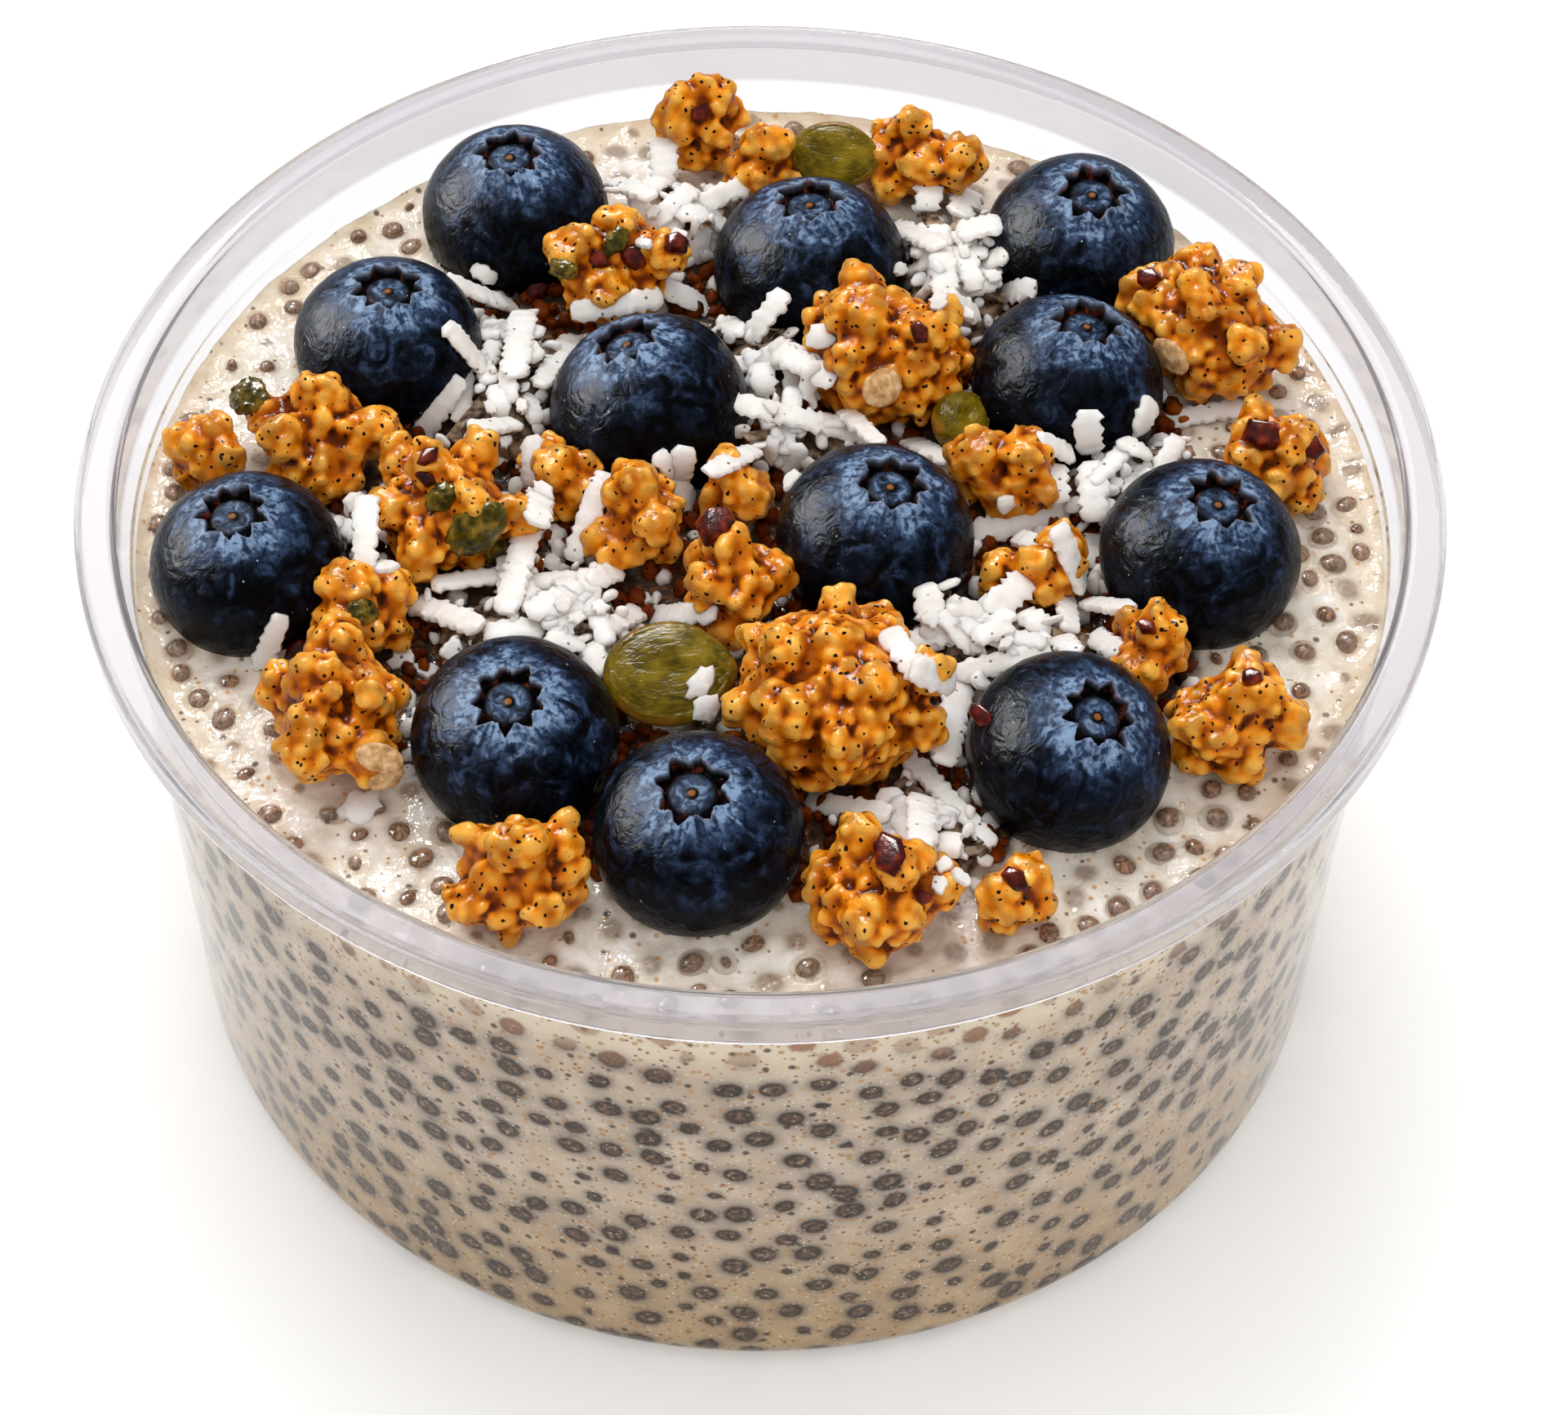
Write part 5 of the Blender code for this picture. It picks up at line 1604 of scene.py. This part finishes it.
# %% Tables of the loose coconut
# Shreds: x and y of one end, x and y of the other, width
TOP_SHREDS = (
    (-9.3, 46.9, -9.4, 40, 2.8), (-14, 40.4, -10.2, 38.3, 2.1), (-6.5, 39.6, -10.4, 34.6, 2.2),
    (-1.6, 40.1, -5.9, 37.5, 2.2), (-5.7, 35.9, -5.8, 29.7, 2.5), (-7.9, 36.3, -5, 35.9, 2.4),
    (15.4, 40.4, 14.8, 36.6, 2.8), (18.9, 39.6, 17.9, 36.2, 2.8), (21.9, 35.4, 17.6, 34.1, 2.6),
    (22.3, 31.3, 19.5, 30, 2.6), (24.7, 26.9, 21.6, 26.4, 2.6), (12.2, 34.9, 16.1, 32.1, 2.4),
    (13.2, 28.7, 15.8, 31.2, 2.2), (16.1, 32.1, 16.5, 25.5, 2.6), (18.1, 32.1, 19.1, 26.4, 2.6),
    (14.3, 25.5, 16.1, 30, 2.4), (19.3, 23.2, 16.5, 25.5, 2.4), (-17.2, 23.1, -9.1, 25.2, 2.2),
    (-9.1, 26.8, -5.1, 24, 2.6), (1.9, 26.1, -1.4, 19.7, 2.2), (-4.2, 21.6, -1.4, 21.7, 2.2),
    (0.8, 19.3, 5.3, 16.5, 2.6), (-28.6, 27.1, -22.1, 23.6, 2.2), (-28.4, 21.5, -24.5, 15.7, 2.5),
    (-21.5, 23.2, -22, 14.9, 2.6), (-16.9, 20.1, -19.7, 13.8, 2.2), (-26.7, 14.9, -29.8, 7.5, 2.2),
    (-26.3, 28.8, -24.2, 27.2, 1.8), (-23.6, 13.8, -22.8, 9.9, 2.1), (-20.5, 12.6, -19.8, 9.2, 2.1),
    (-25.5, 8.4, -21.4, 9.2, 2.2), (-20, 7.7, -20, 1.7, 2.4), (1.2, 18.4, 6.5, 14.9, 2.6),
    (4.3, 16.9, 4.3, 12.2, 2.4), (-3.5, 21.9, -1.6, 20.7, 2.1), (-0.2, 16.8, 0.4, 12.9, 2.4),
    (-2.7, 12.1, 9.5, 8.1, 2.5), (7.3, 11.1, 10.3, 7, 2.1), (-0.6, 6.4, -4.7, 3.4, 2.4), (1, 8, 0.7, 4.9, 1.8),
    (2.9, 7.2, 2.9, 3.5, 2.5), (-9.1, 5.9, -7.6, 3.3, 2.2), (-6.6, 6.7, -7.1, 2.6, 2.4), (-7.6, 3, -6, -0.4, 2.8),
    (13, 7.6, 16.5, 5, 2.4), (28.7, 11.6, 28.5, 6.3, 2.8), (23.9, 8.1, 27.1, 5.9, 2.4), (34.3, 12.9, 33, 8.6, 2.5),
    (31.3, 7.9, 33.9, 6, 2.2), (28.7, 5.2, 28.7, -1.9, 2.8), (18.2, -3.5, 26.3, -0.1, 2.8),
    (25.4, 4.8, 25.8, 0.3, 2.5), (25.4, -2.3, 27.3, -9.8, 2.8), (21, 1, 21.2, -0.5, 1.8),
    (21.9, -3.8, 24.3, -4.8, 1.8), (28.3, -3.3, 28.4, -7.3, 2.4), (35.2, 10.2, 42.5, 12.2, 2.2),
    (-34, 0.3, -33.6, -9.1, 2.5), (-19.9, -3.2, -21.5, -13.1, 2.7), (-19, 0.8, -19.2, -2.9, 2.5),
    (-18.3, -3.5, -16.7, -4.7, 2), (-13.6, 3.4, -16, -7.1, 2.1), (-29.2, -12, -23.4, -14.6, 2.7),
    (-23.1, -15.4, -18.3, -14.5, 2.5), (-12, -7.9, -14.6, -9.4, 2.2), (-10.1, -12.6, -12.9, -14.7, 2.2),
    (-19.7, -13, -15.9, -10.6, 2.7), (-15, -10.6, -17.2, -9.2, 2.2), (-17.8, -15.9, -14.8, -16.5, 2.2),
    (-14.3, -16.5, -12.9, -19.9, 2.5), (-9.4, -13.2, -3.7, -12.8, 2.3), (13.9, -9.3, 15, -16.7, 2.8),
    (10.6, -14.6, 13.5, -19.6, 2.7), (15.7, -11.6, 19, -12.5, 2.1), (22.8, -8.2, 19.3, -12.7, 2.8),
    (17.8, -15.2, 21.1, -14, 2.3), (22.1, -12.5, 24.4, -14.2, 2.5), (16.2, -19.4, 24.3, -16.6, 2.5),
    (12.6, -18.7, 16.2, -20.3, 2.5), (25.7, -10.4, 26.1, -14.6, 2.3), (27.5, -11.2, 31.5, -11.9, 2.3),
    (25.3, -15.1, 26.3, -17.3, 2.3), (27.9, -14.9, 30.2, -16.8, 2.3), (17.7, -19.6, 19.1, -20.5, 1.9),
    (16.7, -20.1, 15.1, -29.1, 2.8), (12.1, -28, 18.8, -37.7, 2.3), (3.7, -33.1, 10.7, -34.4, 2.1),
    (13.3, -32.6, 13.2, -37.6, 2.5), (15.5, -36.4, 15.4, -38.9, 2.5), (-40.2, -13.4, -41.6, -19.6, 2.2),
)
# Flakes: x, y, width
LOOSE_FLAKES = (
    (5.2, 20.2, 3.2), (-18.9, 1, 2.6), (2.8, 2.5, 2.3), (30.7, 2.6, 1.8), (-31.8, -8.2, 2.5),
    (-29.7, -18.4, 2.6), (-27.7, -19.6, 2.6), (-25.8, -17.2, 2.6), (-17.7, -7.7, 2.5), (-15.5, -13.6, 1.8),
    (-4.9, -20.7, 3.4), (-4.4, -23.4, 2.9), (-32.3, -34.3, 4.2), (14.9, -39.7, 2), (16.1, -40.9, 2),
    (17.4, -41.8, 1.8), (14.5, -41.7, 1.8), (-9.7, -11.4, 1.5), (-16.6, -12, 1.8), (-13.5, -12.4, 1.7),
    (-21, 11.1, 1.7), (-23.9, 11, 1.7), (-22.3, 7.1, 1.8), (4.8, 13.4, 1.8), (0.8, 11.4, 1.8), (29.3, 5.8, 1.8),
    (30.1, -0, 1.7), (14.4, -13.4, 1.8), (20.5, -16.1, 1.8), (12.2, 29.1, 1.8), (15.8, 24.9, 2),
    (18.4, 23.4, 1.8), (20.7, 28.2, 1.8), (18.2, 31.3, 1.8), (-7.8, 33.1, 1.8), (-10.1, 36.3, 1.8),
    (-10.8, 32, 1.8), (-4.8, 32.1, 1.7),
)
print("loose shreds:", len(TOP_SHREDS), "flakes:", len(LOOSE_FLAKES))

# %% Lay the loose coconut
loose_draw = random.Random(77)
everything = search_tree([*cluster_meshes.values(), pudding, *berry_meshes, *heap_meshes, *pumpkin_meshes])


def first_met(x, y, trees):
    """What the line of sight meets first among several trees."""
    hits = [hit for hit in (seen_at(x, y, tree) for tree in trees) if hit[0]]
    return min(hits, key=lambda hit: (hit[0] - CAMERA_PLACE).length)


def in_sight(x, y, height):
    """The point at a given height that is seen where a place at mid height is, in millimetres."""
    way = Vector((x, y, SIGHT_HEIGHT)) - CAMERA_PLACE / MM
    return CAMERA_PLACE / MM + way * ((height - CAMERA_PLACE.z / MM) / way.z)


# Where a loose shred feels what it lies on, the steepest it may lie, how far it lies over it, and how it arches
FELT_FROM, FELT_TO = 0.06, 0.94
STEEPEST, LIFT, ARCH = 0.9, 0.5, 0.5
OVER_BUMPS = 0.5
LOOSE_WIDTHS, LOOSE_THICKNESSES = (0.85, 1.0), (0.65, 0.85)
# Flakes face up and a little towards the eater, and lie so far over what carries them
FLAKE_FACING, FLAKE_LIFT = Vector((0, -0.3, 0.6)), 0.25


def laid_line(start, end, lift, trees):
    """A straight line seen between two places, over what lies there, and the way that surface faces."""
    shares = np.linspace(FELT_FROM, FELT_TO, 5)
    spots = [start + (end - start) * share for share in shares]
    hits = [first_met(*spot, trees) for spot in spots]
    heights = np.array([place.z / MM for place, _ in hits])
    limit = STEEPEST * (end - start).length
    slope, low = np.polyfit(shares, heights, 1)
    slope = max(-limit, min(limit, slope))
    low = heights.mean() - slope / 2
    lift += OVER_BUMPS * max(0, (heights - low - slope * shares).max())
    facing = (sum((normal for _, normal in hits), Vector()) / len(hits) + Vector((0, 0, 1))).normalized()
    line = [in_sight(*(start + (end - start) * s), low + slope * s + lift - ARCH * (2 * s - 1) ** 2)
            for s in np.linspace(0, 1, 5)]
    return line, facing


bm = bmesh.new()
for ax, ay, bx_end, by_end, width in TOP_SHREDS:
    trees = [everything] if not bm.faces else [everything, BVHTree.FromBMesh(bm)]
    line, facing = laid_line(Vector((ax, ay)), Vector((bx_end, by_end)), LIFT, trees)
    width *= loose_draw.uniform(*LOOSE_WIDTHS)
    add_shred(bm, line, width, loose_draw.uniform(*LOOSE_THICKNESSES), loose_draw, facing)
trees = [everything, BVHTree.FromBMesh(bm)]
for x, y, width in LOOSE_FLAKES:
    place, normal = first_met(x, y, trees)
    facing = (normal + FLAKE_FACING).normalized()
    add_flake(bm, place / MM + facing * FLAKE_LIFT, facing, width, loose_draw)
loose = from_bmesh("coconut_loose", bm)
show("coconut_loose", loose, coconut.made, "coconut", sharp=58)
print("loose coconut triangles:", triangles(loose))

# %% [markdown]
# ## Chips, green bits and oat flakes on the granola
#
# Dark red chips, bits of green seed and pale oat flakes are stuck to the clusters.
# The green bits and the flakes are small roughened balls, flattened and laid along the surface that the rays meet.
# The chips have cut sides instead: each is the hull of a few corners, with its edges rounded by a bevel.

# %% Finishes of the bits
def bit_finish(name, roughness, *stops, size=1.2, depth=0.06):
    finish = Finish(name, Roughness=roughness, IOR=1.4)
    finish.wire("Base Color", finish.ramp(finish.noise(size, 3), *stops))
    finish.wire("Normal", finish.bump(finish.noise(0.5, 3), depth))
    return finish.made


red_chip = bit_finish("red_chip", 0.2, (0.3, tint(30, 5, 2)), (0.5, tint(78, 15, 5)), (0.72, tint(140, 44, 16)))
green_bit = bit_finish("green_bit", 0.26, (0.32, tint(34, 30, 4)), (0.5, tint(84, 74, 10)), (0.7, tint(150, 118, 34)))
oat = bit_finish("oat_flake", 0.55, (0.3, tint(160, 112, 62)), (0.5, tint(206, 160, 106)), (0.7, tint(232, 200, 156)),
                 size=0.8, depth=0.12)
print("finishes of the bits:", red_chip.name, green_bit.name, oat.name)

# %% Tables of the bits
# x, y, half length, half width and half thickness of each
RED_CHIPS = (
    (-15, 30, 1.5, 1, 0.6), (-8, 32, 1.3, 1.2, 0.8), (-20.5, 26, 1.4, 1.1, 0.6), (14, 21, 1.2, 1, 0.6),
    (35, 28, 1.4, 1.2, 0.9), (44, 8.5, 2.3, 1.7, 0.9), (48, 7, 1.4, 1.1, 0.8), (-29, 5, 1.2, 0.9, 0.5),
    (-29, 2.5, 1.1, 0.8, 0.5), (-38.5, -17.5, 1.3, 1.1, 0.8), (10.5, -38.5, 2.1, 1.5, 0.6), (13, -43, 1.1, 0.8, 0.5),
    (20.5, -41, 1.5, 0.9, 0.6), (32.5, -14, 1, 0.8, 0.6), (41, -19.5, 1.1, 0.9, 0.6), (-6, 50, 1.3, 1, 0.7),
    (-4, -3, 2.3, 1.9, 1.1), (-12, 30.4, 1.6, 1.2, 0.7), (18.5, -24, 1.4, 0.8, 0.6), (29, 1, 1.1, 0.9, 0.5),
)
GREEN_BITS = (
    (-45, 12, 2.2, 1.8, 0.9), (-24.5, -3, 3, 2.2, 1.3), (-22, -5.5, 2.2, 1.6, 1), (-33.5, -13, 1.4, 1, 0.6),
    (-18, 29, 1.5, 1.1, 0.8), (-13.5, 32.5, 1.6, 1, 0.6), (-27.5, 0.5, 1.6, 1.2, 0.8),
)
OAT_FLAKES = (
    (-31, -29, 2, 1.2, 0.5), (-30.4, -31, 1.6, 1.1, 0.5), (36.5, 18.5, 2, 1.6, 0.7), (-24.5, -4.4, 1.4, 0.9, 0.5),
    (10.5, 14, 2, 1.6, 0.6),
)
print("chips:", len(RED_CHIPS), "green bits:", len(GREEN_BITS), "oat flakes:", len(OAT_FLAKES))

# %% Red chips
MOST_TURN = 0.8
CHIP_RISE = 0.3
CHIP_CORNERS, CHIP_SHIFT, CHIP_REACHES, CHIP_HEIGHTS = (5, 6), 0.2, (0.85, 1.15), (0.75, 1.1)
CHIP_BEVEL, FLAT_ENOUGH = 0.14, math.radians(12)
# What turns a chip's face: the surface under it, the camera and straight up
BY_SURFACE, BY_CAMERA, BY_UP = 0.5, 0.7, 0.5


def laid_along(facing, draw):
    """A turn that lays a flat piece along a surface, swung a little either way."""
    swing = Matrix.Rotation(draw.uniform(-MOST_TURN, MOST_TURN), 3, "Z")
    return facing.to_track_quat("Z", "Y").to_matrix() @ swing


def cut_chip(half_sizes, draw):
    """A flat chip with five or six cut sides, the hull of its corners, with its edges rounded."""
    half_long, half_wide, half_thick = half_sizes
    corners = draw.randint(*CHIP_CORNERS)
    bm = bmesh.new()
    for k in range(corners):
        a = TURN * (k + draw.uniform(-CHIP_SHIFT, CHIP_SHIFT)) / corners
        reach = draw.uniform(*CHIP_REACHES)
        for share, height in ((0.72, half_thick), (1.0, 0.1), (0.8, -half_thick)):
            bm.verts.new((half_long * reach * share * math.cos(a), half_wide * reach * share * math.sin(a),
                          height * draw.uniform(*CHIP_HEIGHTS)))
    bmesh.ops.convex_hull(bm, input=bm.verts)
    bmesh.ops.delete(bm, geom=[v for v in bm.verts if not v.link_faces], context="VERTS")
    bmesh.ops.dissolve_limit(bm, angle_limit=FLAT_ENOUGH, verts=bm.verts, edges=bm.edges)
    bmesh.ops.bevel(bm, geom=list(bm.edges), offset=CHIP_BEVEL, segments=2, profile=0.6, affect="EDGES")
    return bm


def laid_chips(name, rows, finish, slot, seed):
    """Cut chips laid on the clusters where the rays meet them."""
    draw = random.Random(seed)
    together = bmesh.new()
    for x, y, *half_sizes in rows:
        place, normal = seen_at(x, y, carriers)
        to_camera = (CAMERA_PLACE - place).normalized()
        facing = (BY_SURFACE * normal + BY_CAMERA * to_camera + Vector((0, 0, BY_UP))).normalized()
        turn = laid_along(facing, draw)
        chip = cut_chip(half_sizes, draw)
        middle = place + facing * half_sizes[2] * CHIP_RISE * MM
        chip.transform(Matrix.Translation(middle) @ turn.to_4x4() @ Matrix.Scale(MM, 4))
        part = from_bmesh("chip", chip)
        together.from_mesh(part)
        bpy.data.meshes.remove(part)
    mesh = from_bmesh(name, together)
    show(name, mesh, finish, slot, sharp=50)
    return triangles(mesh)


print("red chips:", laid_chips("red_chips", RED_CHIPS, red_chip, "granola", 1), "triangles")

# %% Green bits and oat flakes
# How far a bit's middle lies over the surface, in shares of its half thickness
BIT_RISE = 0.35


def laid_bits(name, rows, finish, slot, seed, roughness=0.35):
    """Flattened balls laid on the clusters where the rays meet them."""
    draw = random.Random(seed)
    bits = []
    for x, y, half_long, half_wide, half_thick in rows:
        place, normal = seen_at(x, y, carriers)
        turn = laid_along(normal, draw)
        middle = place / MM + normal * half_thick * BIT_RISE
        bits.append((tuple(middle), tuple(turn.to_euler()), (half_long, half_wide, half_thick)))
    mesh = scattered(name, bits, finish, sides=4, roughness=roughness)
    show(name, mesh, finish, slot, sharp=60)
    return triangles(mesh)


print("green bits:", laid_bits("green_bits", GREEN_BITS, green_bit, "granola", 2, roughness=0.9), "triangles")
print("oat flakes:", laid_bits("oat_flakes", OAT_FLAKES, oat, "granola", 3), "triangles")

# %% [markdown]
# ## Crumbs in the gaps
#
# Between the toppings hardly any pudding shows: crumbs of granola and coconut have trickled down there.
# They are spread as the seeds were, kept only where toppings crowd together, and made by the seeds' recipe.
# The granola crumbs get the crest mark of a hollow, so that they come out as dark as what lies in shade.

# %% Crumbs in the gaps
GAP_SPACING, GAP_TRIES = 1.15, 14000
GAP_CROWDED = 1.02
GRANOLA_SHARE = 0.72
GAP_MARGIN, GAP_SIZES, GAP_RISE = -0.9, (0.5, 1.0), 0.35
# Half length and half height of a crumb in shares of its half width
GAP_LENGTH, GAP_HEIGHT = 1.2, 0.75
IN_SHADE = -0.85
gap_draw = random.Random(51)
gap_spots = keep_apart(gap_draw, GAP_SPACING, GAP_TRIES, on_top, over_the_top)
gap_heights = pudding_height(*gap_spots.T)
gap_crumbs = {"granola": [], "coconut": []}
for (x, y), z, crowded in zip(gap_spots, gap_heights, crowding(*gap_spots.T)):
    size = gap_draw.uniform(*GAP_SIZES)
    kind = "granola" if gap_draw.random() < GRANOLA_SHARE else "coconut"
    faded = crowded * min(1, (CROWD_RADIUS - math.hypot(x, y)) / CROWD_FADE)
    if faded < GAP_CROWDED or not is_bare(x, y, GAP_MARGIN):
        continue
    turn = tuple(gap_draw.uniform(0, TURN) for _ in range(3))
    sizes = (size * GAP_LENGTH, size, size * GAP_HEIGHT)
    gap_crumbs[kind].append(((x, y, z + size * GAP_RISE), turn, sizes))
for kind, finish in (("granola", caramel.made), ("coconut", coconut.made)):
    mesh = scattered(f"{kind}_crumbs", gap_crumbs[kind], finish, roughness=0.9)
    store(mesh, "crest", np.full(len(mesh.vertices), IN_SHADE))
    show(mesh.name, mesh, finish, kind)
    print(kind, "crumbs:", len(gap_crumbs[kind]), "triangles:", triangles(mesh))

# %% [markdown]
# ## Floor and light
#
# The tub stands on a white floor in soft studio light that comes from all round, and the world gives most of it.
# In reflections the world is dimmed, as dark walls round a real light tent would do, or all gloss would turn to haze.
# The key and front lamps shape the toppings and give the floor its shadow. The other three only make highlights:
# each is kept for the pieces that show it in the photo, by light linking, and lights nothing else.

# %% Floor
FLOOR_HALF, FLOOR_WHITE, FLOOR_GLOW = 3.0, 0.93, 0.14
floor_bm = bmesh.new()
bmesh.ops.create_grid(floor_bm, x_segments=1, y_segments=1, size=FLOOR_HALF)
floor_mesh = from_bmesh("floor", floor_bm, outward=False)
floor_finish = Finish("floor", Base_Color=(FLOOR_WHITE, FLOOR_WHITE, FLOOR_WHITE, 1.0), Roughness=0.9,
                      Emission_Color=(1, 1, 1, 1), Emission_Strength=FLOOR_GLOW)
floor_mesh.materials.append(floor_finish.made)
placed("floor", floor_mesh)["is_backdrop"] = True
print("the floor is", 2 * FLOOR_HALF, "m wide")

# %% The world's light
# How strong the world is at the horizon and high up, and the share of it that reflections show
WORLD_LOW, WORLD_HIGH, WORLD_MIRRORED = 0.4, 1.12, 0.27
# A trace warmer than white
WORLD_TINT = (1.0, 0.995, 0.985, 1.0)
world = bpy.data.worlds.new("studio")
bpy.context.scene.world = world
world.use_nodes = True
sky = Nodes(world.node_tree)
background = world.node_tree.nodes["Background"]
upward = sky.parts(sky.add("ShaderNodeTexCoord").outputs["Generated"])[2]
fade = sky.add("ShaderNodeMapRange", {"Value": upward, "From Max": 0.9, "To Min": WORLD_LOW, "To Max": WORLD_HIGH})
ray = sky.add("ShaderNodeLightPath").outputs
mirrored = sky.times(ray["Is Glossy Ray"], sky.math("SUBTRACT", 1.0, ray["Is Transmission Ray"]))
dimmed = sky.add("ShaderNodeMapRange", {"Value": mirrored, "To Min": 1.0, "To Max": WORLD_MIRRORED})
strength = sky.times(fade.outputs[0], dimmed.outputs[0])
sky.tree.links.new(sky.math("MAXIMUM", strength, ray["Is Camera Ray"]), background.inputs["Strength"])
background.inputs["Color"].default_value = WORLD_TINT
bpy.context.scene.view_settings.view_transform = "Standard"
print("the world's strength goes from", WORLD_LOW, "to", WORLD_HIGH)

# %% Lamps
# Name, place, height that it is aimed at, size and power. All in metres and watts.
LAMPS = (
    ("key", (-0.14, 0.45, 0.77), 0.05, 0.5, 2.9), ("front", (0.25, -0.8, 0.55), 0.03, 0.6, 1.0),
    ("window", (-0.75, 0.22, 0.47), 0.05, 0.7, 40.0), ("spark", (-0.15, 0.5, 0.72), 0.05, 0.14, 3.6),
    ("wet", (-0.12, 0.5, 0.74), 0.05, 0.42, 22.0),
)
# The pieces that a highlight lamp is kept for, by how their names begin
HIGHLIGHTS = {
    "window": ("berry_", "chia_beads"), "spark": ("chia_beads", "gel_domes", "pudding_fill"),
    "wet": ("cluster_", "pepita_", "green_bits", "red_chips"),
}


def soft_lamp(name, place, aim_height, size, power):
    """A square lamp pointed at the middle of the tub."""
    lamp = bpy.data.lights.new(name, "AREA")
    lamp.size = size
    lamp.energy = power
    made = placed(name, lamp)
    made.location = place
    made.rotation_euler = (Vector((0, 0, aim_height)) - Vector(place)).to_track_quat("-Z", "Y").to_euler()
    return made


def lights_only(lamp, beginnings):
    """Makes a lamp give highlights alone, and these only to pieces whose names begin in one of the given ways."""
    lamp.visible_diffuse = False
    lit = bpy.data.collections.new("lit_by_" + lamp.name)
    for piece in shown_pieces():
        if piece.name.startswith(beginnings):
            lit.objects.link(piece)
    lamp.light_linking.receiver_collection = lit


lamps = {row[0]: soft_lamp(*row) for row in LAMPS}
lamps["front"].visible_glossy = False
for name, beginnings in HIGHLIGHTS.items():
    lights_only(lamps[name], beginnings)
print("lamps:", list(lamps))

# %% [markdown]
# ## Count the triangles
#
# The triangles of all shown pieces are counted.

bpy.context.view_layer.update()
all_triangles = sum(triangles(o.data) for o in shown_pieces())
